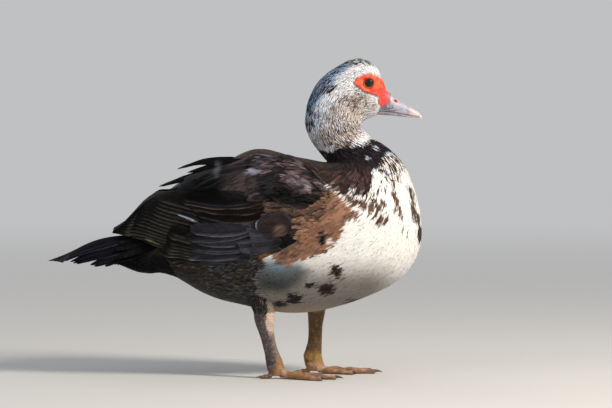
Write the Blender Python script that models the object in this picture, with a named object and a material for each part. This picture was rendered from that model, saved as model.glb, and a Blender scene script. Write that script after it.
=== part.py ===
"""Muscovy hen, standing in profile: a still, life-size model.

Frame: +X is forward (towards the bill), +Y is the bird's left, +Z is up.
The origin is on the floor, under the middle of the bird's bounding box.

The body is drawn as a side elevation on a grid of 1.2 mm squares. Grid x runs
forward and grid y runs down, and the floor is grid line 376. Each station of
the body is one rung of a ladder across that elevation: the rung's ends are the
top and the bottom outline there, and the third number is the half width.
"""

import math

import bmesh
import bpy
import numpy as np
from mathutils import Matrix, Vector
from mathutils.bvhtree import BVHTree

# ---------------------------------------------------------------- dimensions
GRID = 0.0012            # one square of the side elevation, in metres
FLOOR_LINE = 376.0       # grid line of the floor
ZERO_LINE = 234.5        # grid column that is brought to x = 0
GAP = 0.0004             # clearance between neighbouring solids

EYE_AT = (368.2, 83.0)   # centre of the eye on the side elevation
EYE_RADIUS = 0.0084      # eyeball
EYE_OPENING = 0.0056     # radius of the lid opening

HIP_SPREAD = 0.037       # lateral distance of a shank from the middle
FOOT_SPREAD = 0.041      # lateral distance of a foot's root
TOE_LENGTHS = {"ii": 0.051, "iii": 0.071, "iv": 0.066}
TOE_SPLAY = {"ii": 25.0, "iii": 0.0, "iv": -23.0}   # degrees, inwards positive
CLAW_LENGTH = 0.0095
WEB_THICKNESS = 0.0013
SOLE_DROP = 0.0006       # how much of each pad the floor flattens

AROUND = 24              # sides of the body's rings

# Rungs: top (x, y), bottom (x, y), half width, egg (+ is wider at the top)
HEAD = [
    ((385.5, 89.0), (380.5, 113.6), 8.6, 0.00),
    ((382.2, 79.5), (378.0, 115.2), 11.6, 0.02),
    ((378.2, 70.6), (373.0, 116.9), 14.2, 0.05),
    ((371.5, 63.2), (368.0, 118.6), 16.2, 0.08),
    ((361.0, 58.8), (364.5, 120.5), 17.8, 0.10),
    ((349.5, 60.2), (362.3, 122.5), 18.8, 0.08),
    ((338.0, 66.4), (361.2, 124.6), 19.4, 0.05),
    ((327.0, 73.4), (360.8, 126.6), 19.9, 0.02),
    ((317.8, 82.6), (361.3, 128.6), 20.3, 0.00),
]
NECK = [
    ((310.6, 95.6), (363.0, 130.8), 20.9, 0.00),
    ((306.2, 109.6), (366.0, 133.4), 21.8, 0.00),
    ((304.8, 122.4), (370.0, 136.4), 22.9, 0.00),
    ((307.8, 134.6), (375.2, 139.8), 24.0, 0.00),
    ((314.0, 145.4), (381.4, 143.2), 25.8, 0.00),
    ((320.8, 154.0), (388.4, 148.0), 28.8, 0.00),
    ((325.4, 159.6), (395.6, 154.6), 33.2, 0.00),
]
TRUNK = [
    ((327.0, 161.8), (402.0, 162.4), 37.0, 0.00),
    ((324.6, 162.4), (407.6, 171.4), 41.6, 0.00),
    ((320.4, 161.8), (412.4, 183.4), 46.4, 0.00),
    ((314.4, 160.4), (416.8, 197.2), 51.0, 0.00),
    ((306.8, 158.8), (420.2, 212.2), 55.2, 0.00),
    ((298.0, 157.2), (421.8, 228.2), 58.8, -0.02),
    ((288.0, 155.0), (420.4, 245.0), 62.0, -0.03),
    ((277.4, 151.8), (414.2, 261.6), 64.8, -0.04),
    ((266.0, 149.2), (403.4, 275.6), 66.8, -0.05),
    ((254.4, 149.2), (388.4, 286.6), 68.2, -0.05),
    ((242.8, 152.8), (370.0, 295.2), 68.8, -0.05),
    ((231.6, 159.0), (350.0, 302.8), 68.6, -0.04),
    ((220.8, 166.4), (328.4, 308.8), 67.6, -0.03),
    ((210.2, 175.0), (306.0, 312.4), 66.8, -0.02),
    ((200.0, 184.6), (284.2, 312.6), 63.4, 0.00),
    ((190.6, 194.6), (262.4, 309.2), 58.8, 0.02),
    ((182.0, 204.8), (241.0, 304.4), 53.0, 0.04),
    ((174.2, 214.6), (220.6, 299.6), 46.6, 0.06),
    ((167.2, 223.6), (202.4, 292.4), 40.0, 0.08),
    ((160.6, 231.4), (186.4, 283.2), 33.4, 0.10),
    ((153.8, 238.0), (172.2, 274.8), 27.6, 0.10),
    ((147.4, 243.4), (160.8, 271.2), 23.2, 0.08),
    ((140.8, 248.2), (149.8, 271.8), 19.4, 0.04),
    ((133.6, 252.8), (138.4, 270.4), 15.0, 0.00),
    ((127.0, 257.0), (129.0, 266.8), 9.6, 0.00),
    ((121.6, 260.8), (122.2, 263.4), 3.6, 0.00),
]

# Upper bill: culmen, cutting edge, half width
BILL_UPPER = [
    ((386.3, 89.4), (381.5, 111.2), 8.6),
    ((390.4, 93.6), (386.3, 112.2), 8.8),
    ((395.3, 98.4), (392.0, 112.8), 8.9),
    ((401.0, 102.2), (398.6, 113.6), 9.1),
    ((407.0, 105.4), (405.4, 114.9), 9.5),
    ((413.0, 108.6), (411.8, 115.8), 9.6),
    ((417.6, 111.8), (416.8, 116.2), 8.4),
    ((420.6, 114.8), (419.9, 117.6), 5.0),
    ((421.8, 117.4), (421.3, 119.2), 1.8),
]
BILL_LOWER = [
    ((381.5, 111.8), (380.9, 114.6), 7.7),
    ((386.3, 112.8), (386.2, 115.2), 7.9),
    ((392.0, 113.4), (392.0, 115.6), 7.9),
    ((398.6, 114.2), (398.6, 116.2), 8.1),
    ((405.4, 115.5), (405.4, 117.0), 8.4),
    ((411.8, 116.4), (411.8, 117.5), 8.0),
    ((416.4, 116.8), (416.4, 117.6), 5.8),
    ((418.7, 117.2), (418.7, 117.7), 2.2),
]
NOSTRIL = (395.6, 100.9, 2.0, 1.1, 32.0)   # x, y, length, height, slope in degrees

# Folded wing: grid x, middle line y, half height, half width of the body's
# outline there, top and bottom edge angles in degrees, thickness in metres
WING = [
    (338.0, 205.0, 30.0, 54.0, 46.0, -34.0, 0.0032),
    (328.0, 207.0, 41.0, 66.0, 54.0, -40.0, 0.0080),
    (312.0, 209.5, 51.0, 73.6, 60.0, -43.0, 0.0125),
    (295.0, 211.5, 57.5, 77.0, 64.0, -44.0, 0.0145),
    (275.0, 213.0, 62.0, 78.4, 67.0, -44.0, 0.0150),
    (255.0, 214.5, 63.6, 78.4, 69.5, -44.0, 0.0150),
    (235.0, 216.5, 63.0, 76.4, 72.0, -44.0, 0.0140),
    (215.0, 219.5, 60.4, 71.4, 76.0, -45.0, 0.0125),
    (197.0, 222.5, 56.4, 64.0, 80.0, -46.0, 0.0110),
    (180.0, 225.0, 49.6, 54.4, 82.0, -40.0, 0.0095),
    (165.0, 226.6, 40.4, 44.2, 83.0, -28.0, 0.0078),
    (150.0, 228.0, 28.6, 34.0, 83.0, -22.0, 0.0062),
    (135.0, 229.6, 18.4, 25.0, 80.0, -16.0, 0.0046),
    (122.0, 231.2, 11.0, 17.6, 74.0, -10.0, 0.0034),
    (111.0, 232.4, 5.6, 11.6, 60.0, -4.0, 0.0022),
]

# Tail fan: grid x, top line y, half width, droop of the sides, thickness in metres
TAIL = [
    (178.0, 227.0, 15.0, 8.0, 0.0060),
    (165.0, 230.6, 20.0, 13.0, 0.0060),
    (150.0, 232.8, 24.4, 18.0, 0.0058),
    (135.0, 234.2, 28.0, 22.0, 0.0054),
    (120.0, 235.2, 30.6, 24.6, 0.0050),
    (108.0, 236.8, 31.6, 25.4, 0.0046),
    (97.0, 239.4, 30.6, 22.8, 0.0042),
    (86.0, 243.6, 27.8, 18.0, 0.0038),
    (75.0, 249.2, 23.6, 13.0, 0.0034),
    (64.0, 254.4, 17.4, 7.2, 0.0028),
    (54.0, 258.4, 10.0, 3.0, 0.0022),
    (47.4, 260.8, 3.6, 0.8, 0.0014),
]

# Legs from the knee's feathers to the foot: grid y, grid x, fore-aft and side radius
THIGH_RIGHT = [(286.0, 259.0, 17.0, 13.0), (298.0, 262.0, 14.6, 11.4), (307.0, 264.0, 12.2, 10.0), (313.0, 264.6, 10.8, 9.0)]
SHANK_RIGHT = [
    (313.0, 264.6, 10.6, 8.8), (319.0, 265.0, 9.9, 8.2), (325.0, 265.6, 8.7, 7.0), (331.0, 266.8, 7.5, 5.9),
    (338.0, 268.4, 6.9, 5.2), (345.0, 270.2, 6.9, 5.1), (352.0, 272.4, 7.4, 5.4), (358.0, 274.2, 8.4, 6.2),
]
THIGH_LEFT = [(290.0, 311.0, 17.0, 13.0), (301.0, 314.0, 14.0, 11.4), (309.0, 316.0, 11.0, 9.8), (315.0, 316.4, 8.9, 8.6)]
SHANK_LEFT = [
    (315.0, 316.4, 8.8, 8.6), (321.0, 316.0, 7.9, 7.8), (327.0, 315.6, 7.2, 6.6), (333.0, 315.4, 6.9, 5.7),
    (340.0, 315.2, 6.9, 5.2), (346.0, 314.6, 7.3, 5.2), (352.0, 313.6, 8.2, 5.6), (358.0, 312.6, 9.2, 6.4),
]

COLOURS = {
    "dark": (0.020, 0.015, 0.014), "brown": (0.085, 0.048, 0.032), "white": (0.80, 0.78, 0.75),
    "grey": (0.42, 0.40, 0.40), "bill": (0.62, 0.52, 0.54), "eye": (0.012, 0.008, 0.007),
    "leg": (0.36, 0.24, 0.12), "claw": (0.20, 0.15, 0.11),
}


# ------------------------------------------------------------------- helpers
def side(x, y, lateral=0.0):
    """A point of the side elevation, lateral metres to the bird's left."""
    return Vector(((x - ZERO_LINE) * GRID, lateral, (FLOOR_LINE - y) * GRID))


def smooth_rows(rows, steps):
    """Rows of numbers along a Catmull-Rom curve, steps to each interval."""
    table = np.array(rows, float)
    ends = np.vstack([2 * table[0] - table[1], table, 2 * table[-1] - table[-2]])
    found = []
    for i in range(1, len(ends) - 2):
        p0, p1, p2, p3 = ends[i - 1 : i + 3]
        for k in range(steps):
            t = k / steps
            found.append(0.5 * ((2 * p1) + (p2 - p0) * t + (2 * p0 - 5 * p1 + 4 * p2 - p3) * t * t
                                + (3 * p1 - p0 - 3 * p2 + p3) * t ** 3))
    found.append(ends[-2])
    return np.array(found)


def rung_ring(top, bottom, half, egg, around=AROUND):
    """The ring of points that one rung of the ladder stands for."""
    t, b = side(*top), side(*bottom)
    middle, reach = (t + b) / 2, (t - b) / 2
    ring = []
    for k in range(around):
        a = 2 * math.pi * k / around
        c, s = math.cos(a), math.sin(a)
        ring.append(middle + reach * c + Vector((0, half * GRID * s * (1 + egg * c), 0)))
    return ring


def flat(rows):
    return [(t[0], t[1], b[0], b[1], *rest) for t, b, *rest in rows]


def body_rows(rows, steps):
    return [((r[0], r[1]), (r[2], r[3]), r[4], r[5]) for r in smooth_rows(flat(rows), steps)]


def new_object(name, mesh_maker, colour, rough=0.6, smooth=True):
    mesh = bpy.data.meshes.new(name)
    bm = bmesh.new()
    mesh_maker(bm)
    bmesh.ops.remove_doubles(bm, verts=bm.verts, dist=1e-6)
    bmesh.ops.recalc_face_normals(bm, faces=bm.faces)
    bmesh.ops.triangulate(bm, faces=bm.faces)   # so that a piece and its clearance fold along the same lines
    bm.to_mesh(mesh)
    bm.free()
    obj = bpy.data.objects.new(name, mesh)
    bpy.context.scene.collection.objects.link(obj)
    mat = bpy.data.materials.new(name)
    mat.use_nodes = True
    shader = mat.node_tree.nodes["Principled BSDF"]
    shader.inputs["Base Color"].default_value = (*COLOURS[colour], 1)
    shader.inputs["Roughness"].default_value = rough
    shader.inputs["Metallic"].default_value = 0.0
    mesh.materials.append(mat)
    if smooth:
        mesh.shade_smooth()
    obj.parent = STAND_POINT
    return obj


def loft(bm, rings):
    """A closed skin over rings of equal length, with flat ends."""
    rows = [[bm.verts.new(p) for p in ring] for ring in rings]
    count = len(rows[0])
    for a, b in zip(rows, rows[1:]):
        for k in range(count):
            bm.faces.new((a[k], a[(k + 1) % count], b[(k + 1) % count], b[k]))
    bm.faces.new(rows[0][::-1])
    bm.faces.new(rows[-1])


def lofted(name, rings, colour, rough=0.6):
    return new_object(name, lambda bm: loft(bm, rings), colour, rough)


def shifted_end(rings, at_start, by):
    """Moves the first or last ring along the loft by a small distance, which opens the gap of a parting cut."""
    i, j = (0, 1) if at_start else (-1, -2)
    here = sum(rings[i], Vector()) / len(rings[i])
    there = sum(rings[j], Vector()) / len(rings[j])
    share = by / (there - here).length
    rings[i] = [p + (q - p) * share for p, q in zip(rings[i], rings[j])]
    return rings


def swollen(obj, by):
    """A helper copy of obj, each face moved out by about by: what is cut from a neighbour to leave the gap."""
    mesh = obj.data.copy()
    bm = bmesh.new()
    bm.from_mesh(mesh)
    bm.normal_update()
    moves = [v.normal * by * max(1.0, v.calc_shell_factor()) for v in bm.verts]
    for v, move in zip(bm.verts, moves):
        v.co += move
    bm.to_mesh(mesh)
    bm.free()
    helper = bpy.data.objects.new(obj.name + "_clearance", mesh)
    bpy.context.scene.collection.objects.link(helper)
    helper.parent = STAND_POINT
    hide(helper)
    return helper


def hide(helper):
    helper.hide_render = True
    helper.display_type = "WIRE"


def cut(obj, helper, operation="DIFFERENCE"):
    mod = obj.modifiers.new(operation.lower() + "_" + helper.name, "BOOLEAN")
    mod.operation = operation
    mod.object = helper
    mod.solver = "EXACT"


# --------------------------------------------------------------------- start
for old in list(bpy.data.objects):
    bpy.data.objects.remove(old)
STAND_POINT = bpy.data.objects.new("stand_point", None)
bpy.context.scene.collection.objects.link(STAND_POINT)

# ---------------------------------------------------- head, neck and trunk
whole = [(*r,) for r in HEAD + NECK + TRUNK]
STEPS = 1
rows = body_rows(whole, STEPS)
n_head, n_neck = len(HEAD), len(NECK)
rings = [rung_ring(*r) for r in rows]
head_rings = [list(r) for r in rings[: n_head * STEPS]]
neck_rings = [list(r) for r in rings[n_head * STEPS - 1 : (n_head + n_neck) * STEPS]]
trunk_rings = [list(r) for r in rings[(n_head + n_neck) * STEPS - 1 :]]
head = lofted("head", head_rings, "grey")
neck = lofted("neck", shifted_end(neck_rings, True, GAP), "grey")
trunk = lofted("trunk", shifted_end(trunk_rings, True, GAP), "white")


# ---------------------------------------------------------------------- eyes
def eye_centre(sign):
    """Behind the head's surface by the depth that leaves the lid opening."""
    tree = BVHTree.FromObject(head, bpy.context.evaluated_depsgraph_get())
    probe = side(*EYE_AT, sign * 0.1)
    hit, _, _, _ = tree.ray_cast(probe, Vector((0, -sign, 0)))
    depth = math.sqrt(EYE_RADIUS ** 2 - EYE_OPENING ** 2)
    return Vector((hit.x, hit.y - sign * depth, hit.z))


bpy.context.view_layer.update()
for sign, name in ((-1, "eye_right"), (1, "eye_left")):
    centre = eye_centre(sign)

    def ball(bm, centre=centre):
        bmesh.ops.create_uvsphere(bm, u_segments=16, v_segments=9, radius=EYE_RADIUS, matrix=Matrix.Translation(centre))

    eye = new_object(name, ball, "eye", 0.05)
    cut(head, swollen(eye, GAP))


# ---------------------------------------------------------------------- bill
def dome_ring(top, bottom, half, up, around=15, peak=1.0):
    """A D-shaped ring: a dome over a flat side, dome up or down."""
    t, b = side(*top), side(*bottom)
    base, crown = (b, t) if up else (t, b)
    ring = []
    n = around * 2 // 3
    for k in range(n + 1):
        a = math.pi * k / n
        c, s = math.cos(a), math.sin(a)
        ring.append(base + (crown - base) * (s ** peak) + Vector((0, half * GRID * c, 0)))
    m = around - n - 1
    for k in range(1, m + 1):
        ring.append(base + Vector((0, -half * GRID * (1 - 2 * k / (m + 1)), 0)))
    return ring


upper = lofted("bill_upper", [dome_ring((r[0], r[1]), (r[2], r[3]), r[4], True) for r in smooth_rows(flat(BILL_UPPER), 2)], "bill", 0.35)
lower = lofted("bill_lower", [dome_ring((r[0], r[1]), (r[2], r[3]), r[4], False) for r in smooth_rows(flat(BILL_LOWER), 2)], "bill", 0.35)

for sign, name in ((-1, "nostril_right"), (1, "nostril_left")):
    nx, ny, length, height, slope = NOSTRIL

    def pit(bm, sign=sign):
        place = Matrix.Translation(side(nx, ny, sign * 0.0062)) @ Matrix.Rotation(math.radians(slope), 4, "Y")
        bmesh.ops.create_icosphere(bm, subdivisions=1, radius=1.0, matrix=place @ Matrix.Diagonal((length * GRID, 0.0035, height * GRID, 1)))

    helper = new_object(name, pit, "eye")
    hide(helper)
    cut(upper, helper)


# --------------------------------------------------------------------- wings
def wing_ring(x, line, height, half, top, bottom, thick, sign, arc=11):
    """A crescent in the plane across the bird: outer arc down, inner arc up."""
    outer, inner = [], []
    for k in range(arc):
        s = k / (arc - 1)
        a = math.radians(top + (bottom - top) * s)
        lens = math.sin(math.pi * min(max(s, 0.06), 0.94)) ** 0.55
        y, z = half * GRID * math.cos(a), height * GRID * math.sin(a)
        out = Vector((math.cos(a) / half, math.sin(a) / height)).normalized() * thick * lens
        p = side(x, line)
        outer.append(Vector((p.x, sign * y, p.z + z)))
        inner.append(Vector((p.x, sign * (y - out.x), p.z + z - out.y)))
    return outer + inner[::-1]


wing_rows = smooth_rows(WING, 1)
wings = []
for sign, name in ((-1, "wing_right"), (1, "wing_left")):
    wings.append(lofted(name, [wing_ring(*r, sign) for r in wing_rows], "dark", 0.45))

# ---------------------------------------------------------------------- tail


def tail_ring(x, line, half, droop, thick, across=13):
    top, under = [], []
    for k in range(across):
        w = 2 * k / (across - 1) - 1
        p = side(x, line + droop * w * w)
        rim = math.sqrt(max(1 - w * w, 0.04))
        top.append(Vector((p.x, half * GRID * w, p.z)))
        under.append(Vector((p.x, half * GRID * w, p.z - thick * rim)))
    return top + under[::-1]


tail = lofted("tail", [tail_ring(*r) for r in smooth_rows(TAIL, 1)], "dark", 0.45)

for wing in wings:
    spare = swollen(wing, GAP)
    cut(trunk, spare)
    cut(tail, spare)
cut(trunk, swollen(tail, GAP))


# ---------------------------------------------------------------------- legs
def leg_rings(rows, lateral_top, lateral_foot, steps=1, around=14):
    found = []
    for y, x, fore, sideways in smooth_rows(rows, steps):
        share = (y - 300.0) / 60.0
        lateral = lateral_top + (lateral_foot - lateral_top) * share
        p = side(x, y, lateral)
        ring = []
        for k in range(around):
            a = 2 * math.pi * k / around
            ring.append(p + Vector((fore * GRID * math.cos(a), sideways * GRID * math.sin(a), 0)))
        found.append(ring)
    return found


def toe_rings(root, yaw, length, thick, splay_drop, around=8, steps=7):
    """A toe from its root to its last pad, with a swelling at each joint."""
    along = Vector((math.cos(yaw), math.sin(yaw), 0))
    across = Vector((-math.sin(yaw), math.cos(yaw), 0))
    found = []
    for i in range(steps + 1):
        t = i / steps
        swell = 1 + 0.10 * math.cos(2 * math.pi * 3 * t)
        radius = thick * (1 - 0.42 * t) * swell
        height = radius - SOLE_DROP + splay_drop * max(0.0, 1 - t / 0.28) ** 2
        p = root + along * (length * t)
        ring = []
        for k in range(around):
            a = 2 * math.pi * k / around
            ring.append(Vector((p.x, p.y, height)) + across * (radius * 1.06 * math.cos(a)) + Vector((0, 0, radius * math.sin(a))))
        found.append(ring)
    return found


def claw_rings(start, yaw, pitch, length, radius, around=6, steps=4):
    along = Vector((math.cos(yaw), math.sin(yaw), 0))
    across = Vector((-math.sin(yaw), math.cos(yaw), 0))
    found = []
    p = Vector(start)
    for i in range(steps + 1):
        t = i / steps
        slope = math.radians(pitch[0] + (pitch[1] - pitch[0]) * t)
        way = along * math.cos(slope) + Vector((0, 0, math.sin(slope)))
        lift = across.cross(way) * -1
        r = radius * (1 - 0.88 * t)
        found.append([p + across * (r * 0.8 * math.cos(2 * math.pi * k / around)) + lift * (r * math.sin(2 * math.pi * k / around)) for k in range(around)])
        p = p + way * (length / steps)
    return found


def web_outline(root, tips, reach):
    """The web's outline: along the toes' ends, with a hollow edge between neighbours."""
    points = [Vector((root.x, root.y))]
    ends = [Vector((root.x, root.y)) + (Vector((t.x, t.y)) - Vector((root.x, root.y))) * r for t, r in zip(tips, reach)]
    for a, b in zip(ends, ends[1:]):
        for k in range(7):
            t = k / 6
            p = a.lerp(b, t)
            hollow = math.sin(math.pi * t) * 0.14
            points.append(p.lerp(Vector((root.x, root.y)), hollow))
    cleaned = []
    for p in points:
        if not cleaned or (p - cleaned[-1]).length > 1e-5:
            cleaned.append(p)
    return cleaned


def foot(side_name, sign, root, yaw_deg, top_ring, hind_yaw):
    """One foot: root block, three webbed toes and the hind toe, joined; claws apart."""
    yaw = math.radians(yaw_deg)
    name = "foot_" + side_name
    top = [Vector(p) for p in top_ring]
    centre = sum(top, Vector()) / len(top)
    block = [[Vector((p.x, p.y, p.z - GAP)) for p in top]]
    for share, spread, low in ((0.35, 1.06, 0.0125), (0.7, 1.10, 0.0080), (1.0, 0.92, 0.0035)):
        ring = []
        for p in top:
            off = p - centre
            q = centre.lerp(root, share) + Vector((off.x * spread, off.y * spread, 0))
            ring.append(Vector((q.x, q.y, low)))
        block.append(ring)
    base = lofted(name, block, "leg", 0.5)
    ends = []
    for toe, length in TOE_LENGTHS.items():
        turn = yaw - sign * math.radians(TOE_SPLAY[toe])
        thick = {"ii": 0.0043, "iii": 0.0048, "iv": 0.0045}[toe]
        rings = toe_rings(root, turn, length, thick, 0.0052)
        helper = lofted(f"toe_{toe}_{side_name}", rings, "leg")
        hide(helper)
        cut(base, helper, "UNION")
        ends.append(rings[-1])
        mid = sum(rings[-1], Vector()) / len(rings[-1])
        way = Vector((math.cos(turn), math.sin(turn), 0))
        tip_radius = thick * 0.58 * 1.1
        claws = claw_rings(mid + way * GAP + Vector((0, 0, 0.0004)), turn, (8, -24), CLAW_LENGTH * {"ii": 0.85, "iii": 1.0, "iv": 0.8}[toe], tip_radius * 0.72)
        lofted(f"claw_{toe}_{side_name}", claws, "claw", 0.4)
    hind = math.radians(hind_yaw)
    start = centre.lerp(root, 0.6)
    start = Vector((start.x, start.y, 0)) + Vector((math.cos(hind), math.sin(hind), 0)) * 0.005
    rings = toe_rings(start, hind, 0.0155, 0.0036, 0.0050, steps=5)
    helper = lofted(f"toe_i_{side_name}", rings, "leg")
    hide(helper)
    cut(base, helper, "UNION")
    mid = sum(rings[-1], Vector()) / len(rings[-1])
    way = Vector((math.cos(hind), math.sin(hind), 0))
    lofted(f"claw_i_{side_name}", claw_rings(mid + way * GAP + Vector((0, 0, 0.0002)), hind, (4, -14), 0.0058, 0.00135), "claw", 0.4)

    tips = [sum(e, Vector()) / len(e) for e in ends]
    outline = web_outline(root, tips, (0.97, 0.93, 0.97))

    def web(bm):
        low = [bm.verts.new((p.x, p.y, 0.0007)) for p in outline]
        high = [bm.verts.new((p.x, p.y, 0.0007 + WEB_THICKNESS)) for p in outline]
        n = len(outline)
        for k in range(n):
            bm.faces.new((low[k], low[(k + 1) % n], high[(k + 1) % n], high[k]))
        bm.faces.new(low[::-1])
        bm.faces.new(high)

    helper = new_object(f"web_{side_name}", web, "leg")
    hide(helper)
    cut(base, helper, "UNION")

    def floor_block(bm):
        bmesh.ops.create_cube(bm, size=1.0, matrix=Matrix.Translation((root.x, root.y, -0.02)) @ Matrix.Diagonal((0.3, 0.3, 0.04, 1)))

    helper = new_object(f"floor_{side_name}", floor_block, "leg")
    hide(helper)
    cut(base, helper)
    return base


body_copy = swollen(trunk, GAP)
for side_name, sign, thigh_rows, shank_rows, foot_root, yaw, hind_yaw in (
    ("right", -1, THIGH_RIGHT, SHANK_RIGHT, (279.0, 368.0), -16.0, 196.0),
    ("left", 1, THIGH_LEFT, SHANK_LEFT, (317.0, 368.0), -5.0, 170.0),
):
    thigh_rings = leg_rings(thigh_rows, sign * HIP_SPREAD, sign * FOOT_SPREAD)
    shank_rings = leg_rings(shank_rows, sign * HIP_SPREAD, sign * FOOT_SPREAD)
    thigh = lofted("thigh_" + side_name, shifted_end(thigh_rings, False, GAP), "brown", 0.7)
    cut(thigh, body_copy)
    lofted("shank_" + side_name, shank_rings, "leg", 0.5)
    root = side(*foot_root, sign * FOOT_SPREAD)
    root.z = 0.0
    foot(side_name, sign, root, yaw, shank_rings[-1], hind_yaw)

# ------------------------------------------------- origin under the middle
bpy.context.view_layer.update()
graph = bpy.context.evaluated_depsgraph_get()
corners = []
for obj in bpy.context.scene.objects:
    if obj.type == "MESH" and not obj.hide_render:
        seen = obj.evaluated_get(graph)
        mesh = seen.to_mesh()
        points = np.empty(len(mesh.vertices) * 3, np.float32)
        mesh.vertices.foreach_get("co", points)
        points = points.reshape(-1, 3) @ np.array(seen.matrix_world)[:3, :3].T + np.array(seen.matrix_world)[:3, 3]
        corners += [points.min(0), points.max(0)]
        seen.to_mesh_clear()
low, high = np.min(corners, axis=0), np.max(corners, axis=0)
STAND_POINT.location = (-(low[0] + high[0]) / 2, -(low[1] + high[1]) / 2, 0.0)
print("moved by", [round(v, 6) for v in STAND_POINT.location], "lowest", low, "highest", high)
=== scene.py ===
"""Looks of the standing muscovy hen: one skin, its feathers, eyes, bill and claws, on a pale studio floor."""

import math

import bpy
import numpy as np
from mathutils import Matrix, Vector


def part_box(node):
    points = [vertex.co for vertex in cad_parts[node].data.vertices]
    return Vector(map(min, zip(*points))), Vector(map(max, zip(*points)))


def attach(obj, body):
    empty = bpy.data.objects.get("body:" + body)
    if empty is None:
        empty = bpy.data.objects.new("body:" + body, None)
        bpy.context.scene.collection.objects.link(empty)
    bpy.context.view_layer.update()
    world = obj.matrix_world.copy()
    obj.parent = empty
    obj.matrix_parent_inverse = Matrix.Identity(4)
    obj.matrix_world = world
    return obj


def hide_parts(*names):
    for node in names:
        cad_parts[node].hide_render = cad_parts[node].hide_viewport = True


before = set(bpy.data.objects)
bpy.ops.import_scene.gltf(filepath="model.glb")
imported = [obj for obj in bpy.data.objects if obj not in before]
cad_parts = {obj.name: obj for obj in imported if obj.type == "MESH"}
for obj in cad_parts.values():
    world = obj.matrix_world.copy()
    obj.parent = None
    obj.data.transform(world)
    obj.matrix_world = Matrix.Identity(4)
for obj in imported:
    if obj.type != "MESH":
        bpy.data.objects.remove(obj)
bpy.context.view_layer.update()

# ------------------------------------------------------------- proportions
# The same side elevation as the solids: squares of 1.2 mm, x forward, y down.
GRID, FLOOR_LINE, ZERO_LINE = 0.0012, 376.0, 234.5
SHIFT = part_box("tail")[0].x - (47.4 - ZERO_LINE) * GRID

HEAD = [
    ((385.5, 89.0), (380.5, 113.6), 8.6, 0.00), ((382.2, 79.5), (378.0, 115.2), 11.6, 0.02),
    ((378.2, 70.6), (373.0, 116.9), 14.2, 0.05), ((371.5, 63.2), (368.0, 118.6), 16.2, 0.08),
    ((361.0, 58.8), (364.5, 120.5), 17.8, 0.10), ((349.5, 60.2), (362.3, 122.5), 18.8, 0.08),
    ((338.0, 66.4), (361.2, 124.6), 19.4, 0.05), ((327.0, 73.4), (360.8, 126.6), 19.9, 0.02),
    ((317.8, 82.6), (361.3, 128.6), 20.3, 0.00),
]
NECK = [
    ((310.6, 95.6), (363.0, 130.8), 20.9, 0.00), ((306.2, 109.6), (366.0, 133.4), 21.8, 0.00),
    ((304.8, 122.4), (370.0, 136.4), 22.9, 0.00), ((307.8, 134.6), (375.2, 139.8), 24.0, 0.00),
    ((314.0, 145.4), (381.4, 143.2), 25.8, 0.00), ((320.8, 154.0), (388.4, 148.0), 28.8, 0.00),
    ((325.4, 159.6), (395.6, 154.6), 33.2, 0.00),
]
TRUNK = [
    ((327.0, 161.8), (402.0, 162.4), 37.0, 0.00), ((324.6, 162.4), (407.6, 171.4), 41.6, 0.00),
    ((320.4, 161.8), (412.4, 183.4), 46.4, 0.00), ((314.4, 160.4), (416.8, 197.2), 51.0, 0.00),
    ((306.8, 158.8), (420.2, 212.2), 55.2, 0.00), ((298.0, 157.2), (421.8, 228.2), 58.8, -0.02),
    ((288.0, 155.0), (420.4, 245.0), 62.0, -0.03), ((277.4, 151.8), (414.2, 261.6), 64.8, -0.04),
    ((266.0, 149.2), (403.4, 275.6), 66.8, -0.05), ((254.4, 149.2), (388.4, 286.6), 68.2, -0.05),
    ((242.8, 152.8), (370.0, 295.2), 68.8, -0.05), ((231.6, 159.0), (350.0, 302.8), 68.6, -0.04),
    ((220.8, 166.4), (328.4, 308.8), 67.6, -0.03), ((210.2, 175.0), (306.0, 312.4), 66.8, -0.02),
    ((200.0, 184.6), (284.2, 312.6), 63.4, 0.00), ((190.6, 194.6), (262.4, 309.2), 58.8, 0.02),
    ((182.0, 204.8), (241.0, 304.4), 53.0, 0.04), ((174.2, 214.6), (220.6, 299.6), 46.6, 0.06),
    ((167.2, 223.6), (202.4, 292.4), 40.0, 0.08), ((160.6, 231.4), (186.4, 283.2), 33.4, 0.10),
    ((153.8, 238.0), (172.2, 274.8), 27.6, 0.10), ((147.4, 243.4), (160.8, 271.2), 23.2, 0.08),
    ((140.8, 248.2), (149.8, 271.8), 19.4, 0.04), ((133.6, 252.8), (138.4, 270.4), 15.0, 0.00),
    ((127.0, 257.0), (129.0, 266.8), 9.6, 0.00), ((121.6, 260.8), (122.2, 263.4), 3.6, 0.00),
]
NECK_FROM, TRUNK_FROM = len(HEAD), len(HEAD) + len(NECK)
WING = [
    (338.0, 205.0, 30.0, 54.0, 46.0, -34.0), (328.0, 207.0, 41.0, 66.0, 54.0, -40.0),
    (312.0, 209.5, 51.0, 73.6, 60.0, -43.0), (295.0, 211.5, 57.5, 77.0, 64.0, -44.0),
    (275.0, 213.0, 62.0, 78.4, 67.0, -44.0), (255.0, 214.5, 63.6, 78.4, 69.5, -44.0),
    (235.0, 216.5, 63.0, 76.4, 72.0, -44.0), (215.0, 219.5, 60.4, 71.4, 76.0, -45.0),
    (197.0, 222.5, 56.4, 64.0, 80.0, -46.0), (180.0, 225.0, 49.6, 54.4, 82.0, -40.0),
    (165.0, 226.6, 40.4, 44.2, 83.0, -28.0), (150.0, 228.0, 28.6, 34.0, 83.0, -22.0),
    (135.0, 229.6, 18.4, 25.0, 80.0, -16.0), (122.0, 231.2, 11.0, 17.6, 74.0, -10.0),
    (111.0, 232.4, 5.6, 11.6, 60.0, -4.0),
]
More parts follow.
